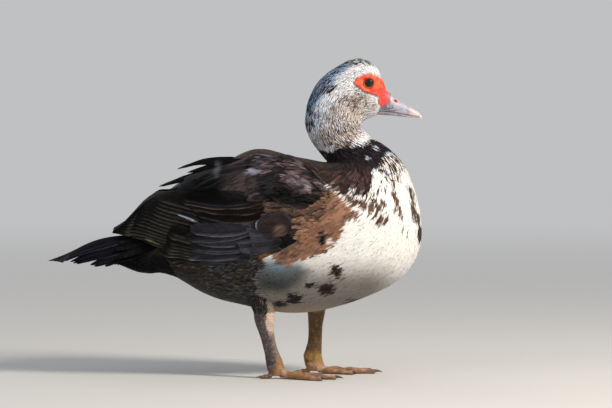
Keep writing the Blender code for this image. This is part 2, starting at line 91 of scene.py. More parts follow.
TAIL = [
    (178.0, 227.0, 15.0, 8.0), (165.0, 230.6, 20.0, 13.0), (150.0, 232.8, 24.4, 18.0), (135.0, 234.2, 28.0, 22.0),
    (120.0, 235.2, 30.6, 24.6), (108.0, 236.8, 31.6, 25.4), (97.0, 239.4, 30.6, 22.8), (86.0, 243.6, 27.8, 18.0),
    (75.0, 249.2, 23.6, 13.0), (64.0, 254.4, 17.4, 7.2), (54.0, 258.4, 10.0, 3.0), (47.4, 260.8, 3.6, 0.8),
]
BILL_UPPER = [
    ((386.3, 89.4), (381.5, 111.2), 8.6), ((390.4, 93.6), (386.3, 112.2), 8.8), ((395.3, 98.4), (392.0, 112.8), 8.9),
    ((401.0, 102.2), (398.6, 113.6), 9.1), ((407.0, 105.4), (405.4, 114.9), 9.5), ((413.0, 108.6), (411.8, 115.8), 9.6),
    ((417.6, 111.8), (416.8, 116.2), 8.4), ((420.6, 114.8), (419.9, 117.6), 5.0), ((421.8, 117.4), (421.3, 119.2), 1.8),
]
BILL_LOWER = [
    ((381.5, 111.8), (380.9, 114.6), 7.7), ((386.3, 112.8), (386.2, 115.2), 7.9), ((392.0, 113.4), (392.0, 115.6), 7.9),
    ((398.6, 114.2), (398.6, 116.2), 8.1), ((405.4, 115.5), (405.4, 117.0), 8.4), ((411.8, 116.4), (411.8, 117.5), 8.0),
    ((416.4, 116.8), (416.4, 117.6), 5.8), ((418.7, 117.2), (418.7, 117.7), 2.2),
]
EYE_AT, EYE_RADIUS, EYE_OPENING = (368.2, 83.0), 0.0084, 0.0056
FACE = [(353.0, 83.0), (357.0, 78.0), (363.0, 75.0), (370.0, 73.6), (377.0, 76.4), (382.0, 79.0), (386.5, 84.5), (392.0, 92.0), (391.0, 105.0),
        (385.0, 106.6), (381.0, 107.0), (379.0, 104.0), (378.5, 97.5), (374.0, 94.6), (368.0, 93.2), (362.0, 90.4), (357.0, 87.0)]

THIGHS = {"right": [(286.0, 259.0, 17.0, 13.0), (298.0, 262.0, 14.6, 11.4), (307.0, 264.0, 12.2, 10.0), (313.0, 264.6, 10.6, 8.8)],
          "left": [(290.0, 311.0, 17.0, 13.0), (301.0, 314.0, 14.0, 11.4), (309.0, 316.0, 11.0, 9.8), (315.0, 316.4, 8.8, 8.6)]}
SHANKS = {"right": [(319.0, 265.0, 9.9, 8.2), (325.0, 265.6, 8.7, 7.0), (331.0, 266.8, 7.5, 5.9), (338.0, 268.4, 6.9, 5.2),
                    (345.0, 270.2, 6.9, 5.1), (352.0, 272.4, 7.4, 5.4), (358.0, 274.2, 8.4, 6.2)],
          "left": [(321.0, 316.0, 7.9, 7.8), (327.0, 315.6, 7.2, 6.6), (333.0, 315.4, 6.9, 5.7), (340.0, 315.2, 6.9, 5.2),
                   (346.0, 314.6, 7.3, 5.2), (352.0, 313.6, 8.2, 5.6), (358.0, 312.6, 9.2, 6.4)]}
FEET = {"right": (-1, (279.0, 368.0), -16.0, 196.0), "left": (1, (317.0, 368.0), -5.0, 170.0)}
HIP_SPREAD, FOOT_SPREAD = 0.037, 0.041
TOE_LENGTHS = {"ii": 0.051, "iii": 0.071, "iv": 0.066}
TOE_SPLAY = {"ii": 25.0, "iii": 0.0, "iv": -23.0}
TOE_THICK = {"ii": 0.0043, "iii": 0.0048, "iv": 0.0045}


# ------------------------------------------------------------------ numbers
def side(x, y, lateral=0.0):
    """Points of the side elevation in metres."""
    x, y, lateral = np.broadcast_arrays(np.asarray(x, float), y, lateral)
    return np.stack([(x - ZERO_LINE) * GRID + SHIFT, lateral, (FLOOR_LINE - y) * GRID], -1)


def elevation(points):
    """The grid x and y of points in metres."""
    return (points[..., 0] - SHIFT) / GRID + ZERO_LINE, FLOOR_LINE - points[..., 2] / GRID


def flat(rows):
    return np.array([(t[0], t[1], b[0], b[1], *rest) for t, b, *rest in rows], float)


def curve(table, t):
    """Rows of a table along a Catmull-Rom curve, at the fractional rows t."""
    table, t = np.asarray(table, float), np.asarray(t, float)
    ends = np.vstack([2 * table[0] - table[1], table, 2 * table[-1] - table[-2]])
    i = np.clip(t.astype(int), 0, len(table) - 2)
    f = (t - i)[:, None]
    p0, p1, p2, p3 = ends[i], ends[i + 1], ends[i + 2], ends[i + 3]
    return 0.5 * ((2 * p1) + (p2 - p0) * f + (2 * p0 - 5 * p1 + 4 * p2 - p3) * f * f + (3 * p1 - p0 - 3 * p2 + p3) * f ** 3)


def ramp(x, low, high):
    """0 below low, 1 above high, smooth between; low may be above high."""
    t = np.clip((x - low) / (high - low), 0, 1)
    return t * t * (3 - 2 * t)


def unit(v):
    return v / np.maximum(np.linalg.norm(v, axis=-1, keepdims=True), 1e-12)


def lattice(i, j, k, seed):
    i, j, k = (np.asarray(a, np.int64) for a in (i, j, k))
    h = (i * 374761393 + j * 668265263 + k * 1440662683 + seed * 1013904223) & 0xFFFFFFFF
    h = ((h ^ (h >> 15)) * 2246822519) & 0xFFFFFFFF
    h = ((h ^ (h >> 13)) * 3266489917) & 0xFFFFFFFF
    return ((h ^ (h >> 16)) & 0xFFFF) / 65535.0


def noise(points, size, seed=0):
    """Smooth value noise from 0 to 1 with features of about size metres."""
    q = np.asarray(points) / size
    b = np.floor(q).astype(np.int64)
    f = q - b
    f = f * f * (3 - 2 * f)
    total = 0.0
    for dx in (0, 1):
        for dy in (0, 1):
            for dz in (0, 1):
                weight = np.where(dx, f[..., 0], 1 - f[..., 0]) * np.where(dy, f[..., 1], 1 - f[..., 1]) * np.where(dz, f[..., 2], 1 - f[..., 2])
                total = total + weight * lattice(b[..., 0] + dx, b[..., 1] + dy, b[..., 2] + dz, seed)
    return total


def outline_distance(poly, x, y):
    """Signed distance in grid squares to a closed outline, positive inside."""
    x, y = np.asarray(x, float), np.asarray(y, float)
    best = np.full(x.shape, 1e9)
    inside = np.zeros(x.shape, bool)
    pts = list(poly)
    for (x0, y0), (x1, y1) in zip(pts, pts[1:] + pts[:1]):
        dx, dy = x1 - x0, y1 - y0
        t = np.clip(((x - x0) * dx + (y - y0) * dy) / (dx * dx + dy * dy), 0, 1)
        best = np.minimum(best, np.hypot(x - x0 - t * dx, y - y0 - t * dy))
        if y0 != y1:
            inside ^= ((y0 > y) != (y1 > y)) & (x < (x1 - x0) * (y - y0) / (y1 - y0) + x0)
    return np.where(inside, best, -best)


# ----------------------------------------------------------------- surfaces
class Surface:
    """A smooth surface over a grid of points: u runs with the lie of the feathers, v across it."""

    def __init__(self, points, wraps, outward):
        self.P, self.wraps = points, wraps
        self.Su = np.gradient(points, axis=0)
        if wraps:
            self.Sv = (np.roll(points, -1, 1) - np.roll(points, 1, 1)) / 2
        else:
            self.Sv = np.gradient(points, axis=1)
        normal = unit(np.cross(self.Sv, self.Su))
        if (normal * outward).sum(-1).mean() < 0:
            normal = -normal
        self.N = normal
        self.nu, self.nv = points.shape[:2]

    def at(self, field, u, v):
        i = np.clip(np.floor(u).astype(int), 0, self.nu - 2)
        fu = np.clip(u - i, -14.0, 14.0)[..., None]
        if self.wraps:
            v = np.mod(v, self.nv)
            j = np.minimum(np.floor(v).astype(int), self.nv - 1)
            j1 = (j + 1) % self.nv
        else:
            j = np.clip(np.floor(v).astype(int), 0, self.nv - 2)
            j1 = j + 1
        fv = np.clip(v - j, -10.0, 10.0)[..., None]
        return (field[i, j] * (1 - fv) + field[i, j1] * fv) * (1 - fu) + (field[i + 1, j] * (1 - fv) + field[i + 1, j1] * fv) * fu

    def walk(self, u, v, along, across, yaw):
        """Grid steps that move along and across, in metres, a lie turned by yaw."""
        su, sv, n = self.at(self.Su, u, v), self.at(self.Sv, u, v), unit(self.at(self.N, u, v))
        f = unit(su)
        w = np.cross(n, f)
        c, s = np.cos(yaw)[..., None], np.sin(yaw)[..., None]
        d = (f * c + w * s) * along[..., None] + (w * c - f * s) * across[..., None]
        a, b, e = (su * su).sum(-1), (su * sv).sum(-1), (sv * sv).sum(-1)
        r1, r2 = (su * d).sum(-1), (sv * d).sum(-1)
        det = np.maximum(a * e - b * b, a * e * 0.05 + 1e-16)
        return (r1 * e - r2 * b) / det, (r2 * a - r1 * b) / det


def body_points(lattice_u, around, inset=None):
    rows = curve(flat(HEAD + NECK + TRUNK), lattice_u)
    a = np.linspace(0, 2 * math.pi, around, endpoint=False)
    c, s = np.cos(a)[None, :], np.sin(a)[None, :]
    top, bottom = side(rows[:, 0], rows[:, 1])[:, None], side(rows[:, 2], rows[:, 3])[:, None]
    points = (top + bottom) / 2 + (top - bottom) / 2 * c[..., None]
    points[..., 1] += rows[:, 4:5] * GRID * s * (1 + rows[:, 5:6] * c)
    return points, (top + bottom) / 2


PER_RUNG, AROUND = 10, 160
RUNGS = len(HEAD + NECK + TRUNK)
lattice_u = np.linspace(0, RUNGS - 1, (RUNGS - 1) * PER_RUNG + 1)
outer_points, ladder_line = body_points(lattice_u, AROUND)
outer = Surface(outer_points, True, outer_points - ladder_line)


def coat_depth(rung):
    """How deep the skin lies under the feather tips, in metres, by rung of the ladder."""
    return np.interp(rung, [0, 1, 3, 8, 12, 15, 18, 24, 30, 36, 39, 40.4, 41],
                     [0.0006, 0.0011, 0.0016, 0.0024, 0.0025, 0.0022, 0.0020, 0.0020, 0.0020, 0.0020, 0.0020, 0.0018, 0.0012])


def face_depth(points):
    """Distance inside the uneven edge of the bare face, in grid units."""
    x, y = elevation(points)
    return outline_distance(FACE, x, y) + 2.2 * (noise(points, 0.0021, 17) - 0.5) * ramp(x, 384, 378)


def bare_face(points):
    """1 on the naked skin of the face, 0 on feathered skin."""
    x, y = elevation(points)
    near = np.where(x > 340, 1.0, 0.0)
    return ramp(face_depth(points), -0.6, 0.9) * near


depth = coat_depth(lattice_u)[:, None] * (1 - bare_face(outer_points))
skin_points = outer_points - outer.N * depth[..., None]
SKIN = Surface(skin_points, True, skin_points - ladder_line)


def wing_surface(sign, inset, stretch=1.0):
    rows = curve(WING, np.linspace(0, len(WING) - 1, (len(WING) - 1) * 12 + 1))
    s = np.linspace(0, 1, 72)[None, :]
    a = np.radians(rows[:, 4:5] + (rows[:, 5:6] - rows[:, 4:5]) * s)
    points = np.empty((len(rows), 72, 3))
    middle = side(rows[:, 0], rows[:, 1])[:, None]
    points[:] = middle
    points[..., 1] += sign * rows[:, 3:4] * GRID * np.cos(a)
    points[..., 2] += rows[:, 2:3] * GRID * np.sin(a)
    found = Surface(points, False, points - middle * np.array([1, 0, 1.0]))
    moved = points - found.N * inset
    return Surface(moved, False, moved - middle * np.array([1, 0, 1.0]))


def tail_surface(inset):
    rows = curve(TAIL, np.linspace(0, len(TAIL) - 1, (len(TAIL) - 1) * 10 + 1))
    w = np.linspace(-1, 1, 61)[None, :]
    points = side(rows[:, 0:1], rows[:, 1:2] + rows[:, 3:4] * w * w, rows[:, 2:3] * GRID * w)
    up = np.zeros_like(points)
    up[..., 2] = 1
    points = points - up * inset
    return Surface(points, False, up)


# ----------------------------------------------------------------- markings
WHITE = np.array([0.74, 0.725, 0.705])
BLACK, DARK = np.array([0.008, 0.007, 0.009]), np.array([0.022, 0.016, 0.015])
BROWN, RUST = np.array([0.062, 0.038, 0.028]), np.array([0.185, 0.100, 0.062])
SKY_SHADE_BLUE = np.array([0.40, 0.52, 0.68])

COLLAR = [(320, 158), (330, 151), (338, 147), (343, 142), (352, 144), (362, 147), (368, 140), (382, 141), (391, 148), (397, 155), (389, 154), (383, 158), (379, 165),
          (372, 168), (371, 179), (368, 191), (362, 196), (355, 190), (349, 186), (346, 194), (338, 192), (330, 186), (316, 176), (300, 168), (300, 156)]
MOTTLED = [(380, 141), (391, 147), (400, 157), (407, 168), (402, 174), (396, 184), (389, 182), (383, 178), (377, 173), (370, 168), (377, 160), (384, 155)]
FRINGE = [(368, 176), (384, 178), (384, 190), (372, 202), (362, 204), (350, 198), (346, 188), (352, 184), (362, 196)]
STREAK_1 = [(388, 181), (394, 181), (396, 194), (399, 206), (405, 217), (398, 220), (393, 209), (390, 196)]
STREAK_2 = [(405, 186), (409, 188), (413, 199), (415, 210), (419, 218), (418, 226), (411, 223), (408, 211), (408, 200)]
BAND = [(344, 190), (354, 197), (363, 199), (371, 204), (381, 200), (384, 205), (379, 212), (386, 216), (385, 222), (376, 223), (368, 217), (361, 208), (352, 204), (344, 200)]
SHOULDER = [(296, 200), (312, 194), (330, 188), (340, 196), (347, 206), (358, 212), (356, 217), (347, 218), (341, 224), (340, 232), (335, 239), (329, 243), (325, 249), (316, 252),
            (300, 255), (286, 263), (276, 258), (270, 244), (276, 222)]
REAR = [(96, 262), (125, 240), (160, 222), (200, 222), (262, 254), (267, 262), (258, 270), (255, 280), (258, 290), (266, 298), (268, 312), (262, 318), (236, 318), (190, 302), (150, 284),
        (110, 276)]
VENT = [(116, 250), (150, 248), (170, 262), (170, 276), (150, 278), (116, 268)]
SPOTS = [(336, 269, 8.0, 8.0, 0.80), (327, 285, 10.0, 7.0, 0.88), (312, 281, 7, 4.0, 0.55), (294, 294, 9.0, 6.5, 0.82), (280, 301, 8, 6.0, 0.70), (357, 299, 17, 4.0, 0.72),
         (418.5, 234, 3.6, 9.0, 0.97), (322, 235, 5.0, 8.5, 0.85), (346, 228, 6, 3, 0.30), (404, 231, 4, 7, 0.34), (258, 283, 5, 5, 0.6)]
FLANK = [(258, 256), (282, 256), (300, 260), (310, 268), (300, 280), (284, 288), (262, 288), (254, 274)]
HIND_NECK = [(300, 106), (309, 102), (316, 112), (316, 128), (310, 136), (302, 130)]
SHADED_NAPE = [(342, 60), (350, 57), (352, 62), (346, 70), (338, 76), (332, 84), (323, 92), (317, 104), (312, 112), (305, 113), (306, 98), (312, 84), (322, 72), (332, 63)]
PALE_LOCK = [(354, 82), (343, 84), (333, 92), (322, 102), (314, 110), (318, 114), (330, 106), (342, 98), (354, 92)]
CROWN = [(342, 60), (347, 54), (360, 54), (374, 58), (377, 68), (366, 66), (352, 67), (342, 70)]
THROAT = [(333, 96), (344, 87), (356, 90), (368, 98), (376, 104), (370, 112), (360, 118), (360, 134), (352, 146), (336, 150), (322, 148), (318, 132), (324, 114)]
THROAT_LOW = [(322, 138), (330, 126), (344, 126), (356, 132), (358, 142), (346, 148), (330, 150)]


def in_area(area, x, y, soft):
    return ramp(outline_distance(area, x, y), -soft, soft)


def body_colour(points, rng, streak=0.5, lane=None):
    """Colour at points of shape (feathers, points, 3): the markings of the head, neck and body, with painted shade and
    sky-blue light on the belly, flank, head and nape, and each feather's own luck.
    """
    x, y = elevation(points)
    n = len(points)
    clump = noise(points, 0.010, 3) * 0.55 + noise(points, 0.0045, 4) * 0.45
    clump = np.clip((clump - 0.5) * 1.5 + 0.5, 0, 1)
    own = rng.random((n, 1))
    if lane is not None:
        barbs = rng.random((n, 9))
        own = own * 0.55 + 0.45 * barbs[np.arange(n)[:, None], np.clip(np.round((lane + 1) * 4), 0, 8).astype(int)]
        own = np.clip((own - 0.5) * 1.3 + 0.5, 0, 1)
    pick = own * streak + clump * (1 - streak)
    pick = np.clip((pick - 0.5) * 1.35 + 0.5, 0, 1)
    found = np.ones(points.shape) * WHITE * (0.93 + 0.12 * rng.random((n, 1, 1)))

    def lay(strength, colour, spread=0.3, shift=0.0):
        nonlocal found
        share = (ramp(strength * 1.04 - 0.02 - np.mod(pick + shift, 1.0), -0.03, 0.03) * ramp(strength, 0.0, 0.03))[..., None]
        toned = colour * (1 + spread * (rng.random((n, 1, 1)) - 0.5) * 2)
        found = found * (1 - share) + toned * share

    low = ramp(y, 143, 150)
    chest = low * ramp(x, 316, 322)
    # grey-blue flank: partly the down's own grey, partly a painted shadow of the wing, with a painted sky-blue spot in
    # it
    flank = in_area(FLANK, x, y, 7)[..., None]
    found = found * (1 - flank * 0.85) + np.array([0.070, 0.100, 0.125]) * flank * 0.85
    blue = ramp(np.hypot((x - 278) / 11, (y - 262) / 7), 1.2, 0.4)[..., None]
    found = found * (1 - blue * 0.6) + np.array([0.20, 0.29, 0.38]) * blue * 0.6
    # painted shade: the lower belly is darkened and a little cooled, as if in shadow from the light above
    under = (ramp(y, 250, 282) * ramp(x, 412, 366))[..., None]
    found = found * (1 - 0.73 * under * np.array([0.97, 1.0, 1.03]))
    cream = (ramp(y, 300, 309) * ramp(x, 262, 270) * ramp(x, 345, 320))[..., None]
    found = found * (1 - cream * 0.5) + np.array([0.42, 0.30, 0.16]) * cream * 0.5
    lay(in_area(FRINGE, x, y, 5) * 0.42, DARK * 1.6, 0.5)
    lay(in_area(STREAK_1, x, y, 3.2) * 0.66, BROWN * 1.5, 0.4)
    lay(in_area(STREAK_2, x, y, 3.0) * 0.80, BROWN, 0.4)
    lay(in_area(BAND, x, y, 4.5) * 0.72, BROWN * 1.4, 0.4)
    for cx, cy, rx, ry, strength in SPOTS:
        r = np.hypot((x - cx) / rx, (y - cy) / ry)
        lay(ramp(r, 1.45, 0.35) * strength, DARK, 0.5)
    shoulder = in_area(SHOULDER, x, y, 5.0)
    lay(shoulder * 0.97, RUST * np.array([1.22, 1.16, 1.20]), 0.30)
    lay(shoulder * (0.36 + 0.22 * ramp(y, 214, 200) + 0.36 * ramp(x, 312, 296)), BROWN * 1.45, 0.35, 0.31)
    patch = ramp(np.hypot((x - 322) / 5.0, (y - 235) / 8.5), 1.2, 0.7)
    lay(patch * 0.8, BLACK * 1.3, 0.3, 0.17)
    lay(ramp(np.hypot((x - 329.5) / 3.2, (y - 239) / 5), 1.2, 0.7) * 0.7, WHITE * 0.9, 0.1, 0.5)
    mottled = in_area(MOTTLED, x, y, 4)
    lay(mottled * 0.68, BROWN * 0.7, 0.5)
    collar = in_area(COLLAR, x, y, 4)
    lay(collar * 0.985, DARK * np.array([0.80, 0.78, 0.95]), 0.45)
    lay(collar * 0.66 * ramp(y, 164, 178), BROWN * np.array([0.92, 0.84, 0.95]), 0.4, 0.4)
    lay(collar * 0.12 * ramp(y, 176, 186), np.array([0.30, 0.26, 0.25]), 0.3, 0.15)
    lay(collar * 0.40 * ramp(y, 172, 158), BLACK, 0.3, 0.7)
    # painted sky light: small blue-white spots on the white feathers by the collar
    for cx, cy, r in ((374.5, 149, 3.0), (367, 158, 2.6), (388, 154.5, 3.4), (374, 171, 3.4), (384, 174, 3.0), (352, 145.5, 3.6)):
        lay(ramp(np.hypot(x - cx, (y - cy) * 1.5), r + 1.2, r * 0.5) * 0.8, np.array([0.48, 0.56, 0.68]), 0.15, 0.2)
    rear = in_area(REAR, x, y, 6)
    lay(rear * 0.985, DARK * 0.75, 0.5)
    lay(rear * 0.30, np.array([0.034, 0.025, 0.017]), 0.4, 0.35)
    lay(rear * 0.11 * ramp(x, 172, 196), np.array([0.080, 0.076, 0.066]), 0.4, 0.8)
    # bluish-grey flecks at the rear: partly its own streaks, partly a painted sky highlight
    lay(rear * 0.10 * ramp(x, 190, 210), np.array([0.060, 0.075, 0.088]), 0.4, 0.55)
    lay(rear * ramp(x, 190, 140) * 0.6, BLACK, 0.3, 0.6)
    lay(in_area(VENT, x, y, 3) * 1.03, BLACK * 0.8, 0.3)
    back = np.clip(ramp(y, 200, 192) * ramp(x, 334, 322) + ramp(x, 236, 222) * ramp(y, 262, 248) + ramp(x, 140, 128), 0, 1) * ramp(y, 148, 152)
    lay(back * 1.03, DARK * 0.8, 0.4)
    lay(back * 0.3, BROWN * 0.6, 0.4, 0.5)
    # head and neck
    head = 1 - low
    # painted light: the whites of the head and neck are brightened and cooled to offset the shade of their own tufts
    found = found * (1 + head[..., None] * np.array([0.13, 0.15, 0.21]))
    lay(head * ramp(x, 380, 350) * 0.20, np.array([0.36, 0.37, 0.43]), 0.4, 0.62)
    # painted shade: the back of the head and the crown above the eye are tinted pale blue, as white feathers in sky-lit
    # shade
    sky_shade = (head * np.clip(ramp(x, 348, 318) * ramp(y, 50, 66) + 0.6 * ramp(y, 70, 60) * ramp(x, 372, 352), 0, 1) * ramp(y, 138, 118))[..., None]
    found = found * (1 - sky_shade * 0.62) + SKY_SHADE_BLUE * sky_shade * 0.62
    # painted shade: the nape's white feathers are tinted deep blue, as in sky-lit shadow
    nape_shade = (head * in_area(SHADED_NAPE, x, y, 3.5))[..., None]
    found = found * (1 - nape_shade * 0.94) + np.array([0.100, 0.215, 0.42]) * nape_shade * 0.94
    lay(head * in_area(THROAT, x, y, 5) * 0.33, BROWN * np.array([1.65, 1.45, 1.2]), 0.45)
    lay(head * in_area(THROAT, x, y, 5) * 0.26, np.array([0.42, 0.32, 0.25]), 0.25, 0.5)
    lay(head * in_area(THROAT_LOW, x, y, 4) * 0.50, BROWN * 1.1, 0.4, 0.2)
    lay(head * in_area(CROWN, x, y, 3) * 0.62, DARK * np.array([1.2, 1.4, 2.2]), 0.5)
    # painted shade and highlight on the nape: darker blue streaks, then a few pale blue-white glints
    lay(head * in_area(SHADED_NAPE, x, y, 3) * 0.50, np.array([0.018, 0.026, 0.050]), 0.5)
    lay(head * in_area(SHADED_NAPE, x, y, 2) * 0.13, np.array([0.45, 0.52, 0.62]), 0.2, 0.45)
    lay(head * in_area([(318, 88), (324, 84), (337, 85), (335, 92), (326, 96), (318, 95)], x, y, 2.5) * 0.80, np.array([0.016, 0.014, 0.016]), 0.4, 0.2)
    lay(head * in_area(PALE_LOCK, x, y, 2.5) * 0.72, WHITE * np.array([1.02, 1.03, 1.08]), 0.1, 0.5)
    lay(head * in_area(HIND_NECK, x, y, 4) * 0.60, BLACK * np.array([2.2, 1.8, 1.7]), 0.5)
    streaks = head * ramp(x, 350, 326) * ramp(y, 56, 66)
    lay(streaks * 0.20, DARK * np.array([1.5, 1.6, 2.0]), 0.4)
    lay(head * ramp(y, 126, 140) * ramp(x, 352, 336) * 0.42, DARK, 0.5, 0.1)
    return found


# ------------------------------------------------------------------ feathers
class Vane:
    """The mesh plan of one closed vane of rows by cols faces a side."""

    def __init__(self, rows, cols):
        self.rows, self.cols = rows, cols
        top = np.arange((rows + 1) * (cols + 1)).reshape(rows + 1, cols + 1)
        under = top.copy()
        under[1:-1, 1:-1] = (rows + 1) * (cols + 1) + np.arange((rows - 1) * (cols - 1)).reshape(rows - 1, cols - 1)
        upper = np.stack([top[:-1, :-1], top[1:, :-1], top[1:, 1:], top[:-1, 1:]], -1).reshape(-1, 4)
        lower = np.stack([under[:-1, :-1], under[:-1, 1:], under[1:, 1:], under[1:, :-1]], -1).reshape(-1, 4)
        self.faces = np.vstack([upper, lower])
        self.above = np.repeat([1.0, 0.0], [len(upper), len(lower)])
        self.count = (rows + 1) * (cols + 1) + (rows - 1) * (cols - 1)
        rim = np.ones((rows + 1, cols + 1), bool)
        rim[1:-1, 1:-1] = False
        self.rim = np.concatenate([rim.ravel(), np.zeros((rows - 1) * (cols - 1), bool)])


PLANS = {}


def plan(rows, cols):
    return PLANS.setdefault((rows, cols), Vane(rows, cols))


def drape(surface, u, v, yaw, length, half, lift, rise, rows, cols, rng, grow=(0.35, 0.85, 1.0, 1.0, 0.9), round_tip=0.35, teeth=0.0,
          camber=0.12, thick=0.00030, bend=0.0, power=1.9, tip_width=1.0, droop=0.0, skew=0.0, path=None):
    """Closed vanes lying on a surface, one for each root (u, v), or each along a given path of the grid."""
    n = len(u)
    s = np.linspace(0, 1, rows + 1) ** (1.0 if path else 0.92)
    w = np.linspace(-1, 1, cols + 1)
    yaw, length, half, lift, rise = (np.broadcast_to(np.asarray(a, float), (n,)) for a in (yaw, length, half, lift, rise))
    reach = 1 - round_tip * np.abs(w) ** 2.2
    cut = np.zeros((n, cols + 1))
    if teeth:
        even = (np.arange(cols + 1) % 2 == 0).astype(float)
        cut = teeth * (0.35 + 0.65 * rng.random((n, cols + 1))) * even + teeth * 0.35 * rng.random((n, cols + 1))
    late = ramp(s, 0.35, 1.0)
    share = s[None, :, None] * (reach[None, None, :] * (1 - cut[:, None, :] * late[None, :, None]))
    share = share + skew * w[None, None, :] * s[None, :, None] ** 2 * 0.2
    cu, cv = np.empty((n, rows + 1)), np.empty((n, rows + 1))
    cu[:, 0], cv[:, 0] = u, v
    turn = np.empty((n, rows + 1))
    turn[:] = yaw[:, None] + np.broadcast_to(np.asarray(bend, float), (n,))[:, None] * s[None, :]
    if path:
        cu, cv = path
        spots = surface.at(surface.P, cu, cv)
        step = np.gradient(spots, axis=1)
        length = np.linalg.norm(np.diff(spots, axis=1), axis=-1).sum(1)
        ahead = unit(surface.at(surface.Su, cu, cv))
        aside = np.cross(unit(surface.at(surface.N, cu, cv)), ahead)
        turn = np.arctan2((step * aside).sum(-1), (step * ahead).sum(-1))
    else:
        for k in range(rows):
            du, dv = surface.walk(cu[:, k], cv[:, k], length * (s[k + 1] - s[k]), np.zeros(n), turn[:, k])
            cu[:, k + 1], cv[:, k + 1] = cu[:, k] + du, cv[:, k] + dv
    spread = np.interp(s, np.linspace(0, 1, len(grow)), grow)
    spread = spread * (1 - (1 - tip_width) * ramp(s, 0.55, 1.0))
    along = (share - s[None, :, None]) * length[:, None, None]
    across = w[None, None, :] * half[:, None, None] * spread[None, :, None]
    shape = along.shape
    big = lambda a: np.broadcast_to(a[:, :, None], shape)
    du, dv = surface.walk(big(cu), big(cv), along, across, big(turn))
    U, V = big(cu) + du, big(cv) + dv
    P, N = surface.at(surface.P, U, V), unit(surface.at(surface.N, U, V))
    height = lift[:, None, None] + rise[:, None, None] * (1 - (1 - np.clip(share, 0, 1)) ** power)
    height = height - camber * half[:, None, None] * (w * w)[None, None, :] * np.sin(math.pi * np.clip(s * 0.75 + 0.12, 0, 1))[None, :, None]
    height = height - droop * rise[:, None, None] * (ramp(s, 0.7, 1.0) ** 2)[None, :, None]
    top = P + N * height[..., None]
    body = np.broadcast_to(thick * (1 - 0.45 * np.abs(w))[None, None, :] * (1 - 0.5 * s)[None, :, None], shape)
    under = (top - N * body[..., None])[:, 1:-1, 1:-1]
    verts = np.concatenate([top.reshape(n, -1, 3), under.reshape(n, -1, 3)], 1)
    W = np.broadcast_to(w[None, None, :], shape)
    extra = lambda a: np.concatenate([a.reshape(n, -1), a[:, 1:-1, 1:-1].reshape(n, -1)], 1)
    mid = rows * 3 // 4
    return {"plan": plan(rows, cols), "verts": verts, "w": extra(W), "s": extra(share), "n": n, "u": u.copy(), "v": v.copy(),
            "normal": unit(surface.at(surface.N, extra(U), extra(V))),
            "flat": surface.at(surface.P, extra(U), extra(V)), "seen": surface.at(surface.P, cu[:, mid], cv[:, mid]), "root": surface.at(surface.P, cu[:, 0], cv[:, 0]),
            "tip": surface.at(surface.P, cu[:, -1], cv[:, -1]), "length": length.copy(), "half": half.copy()}


def scatter(surface, rng, radius, keep, tries, u_range=None, v_range=None):
    """Roots spread evenly over a surface, radius(points, u, v) metres apart, where keep(points, u, v) holds."""
    lo, hi = u_range or (0, surface.nu - 1)
    area = np.linalg.norm(np.cross(surface.Su, surface.Sv), axis=-1)
    rows = np.arange(surface.nu)
    area = area * ((rows >= lo) & (rows <= hi))[:, None]
    if v_range:
        cols = np.arange(surface.nv)
        area = area * ((cols >= v_range[0]) & (cols <= v_range[1]))[None, :]
    total = area.ravel().cumsum()
    at = np.searchsorted(total, rng.random(tries) * total[-1])
    u, v = at // surface.nv + rng.random(tries), (at % surface.nv) + rng.random(tries)
    u = np.clip(u, lo, hi)
    P = surface.at(surface.P, u, v)
    ok = keep(P, u, v)
    u, v, P = u[ok], v[ok], P[ok]
    r = np.broadcast_to(radius(P, u, v), len(u))
    cell = float(r.max())
    keys = np.floor(P / cell).astype(int)
    grid, chosen = {}, []
    Pl, rl, kl = P.tolist(), r.tolist(), keys.tolist()
    for i in range(len(Pl)):
        x, y, z = Pl[i]
        kx, ky, kz = kl[i]
        rr = rl[i] * rl[i]
        free = True
        for a in (kx - 1, kx, kx + 1):
            for b in (ky - 1, ky, ky + 1):
                for c in (kz - 1, kz, kz + 1):
                    for q in grid.get((a, b, c), ()):
                        if (q[0] - x) ** 2 + (q[1] - y) ** 2 + (q[2] - z) ** 2 < rr:
                            free = False
                            break
                    if not free:
                        break
                if not free:
                    break
            if not free:
                break
        if free:
            grid.setdefault((kx, ky, kz), []).append((x, y, z))
            chosen.append(i)
    return u[chosen], v[chosen], P[chosen]


def select(found, mask):
    """The feathers of a drape for which mask holds."""
    out = dict(found)
    for key in ("verts", "flat", "w", "s", "u", "v", "seen", "root", "tip", "length", "half", "tint", "place", "margin", "normal"):
        if key in out:
            out[key] = out[key][mask]
    out["n"] = int(mask.sum())
    return out


def shade_vane(found, base, rng, edge=None, edge_from=0.80, shaft=0.0, root_shade=0.35, wobble=0.10):
    """Colour for each point: the feather's own, with painted shade towards the covered root, with an edging and a shaft
    line if asked.
    """
    n = found["n"]
    s, w = found["s"], np.abs(found["w"])
    tint = base.copy() if base.ndim == 3 else np.repeat(base[:, None, :], s.shape[1], 1)
    # painted shade towards the root, where the next feathers cover it
    tint = tint * (1 - root_shade * (1 - ramp(s, 0.05, 0.55)))[..., None]
    tint = tint * (1 + wobble * (rng.random((n, s.shape[1])) - 0.5) * 2)[..., None]
    if edge is not None:
        rim = np.clip(ramp(np.maximum(s, 0.55 + 0.45 * w ** 3), edge_from, 0.97), 0, 1)[..., None]
        tint = tint * (1 - rim) + np.asarray(edge) * rim
    if shaft:
        tint = tint * (1 - shaft * (w < 0.1) * ramp(s, 0.1, 0.3))[..., None]
    found["tint"] = np.clip(tint, 0.002, 1)
    return found


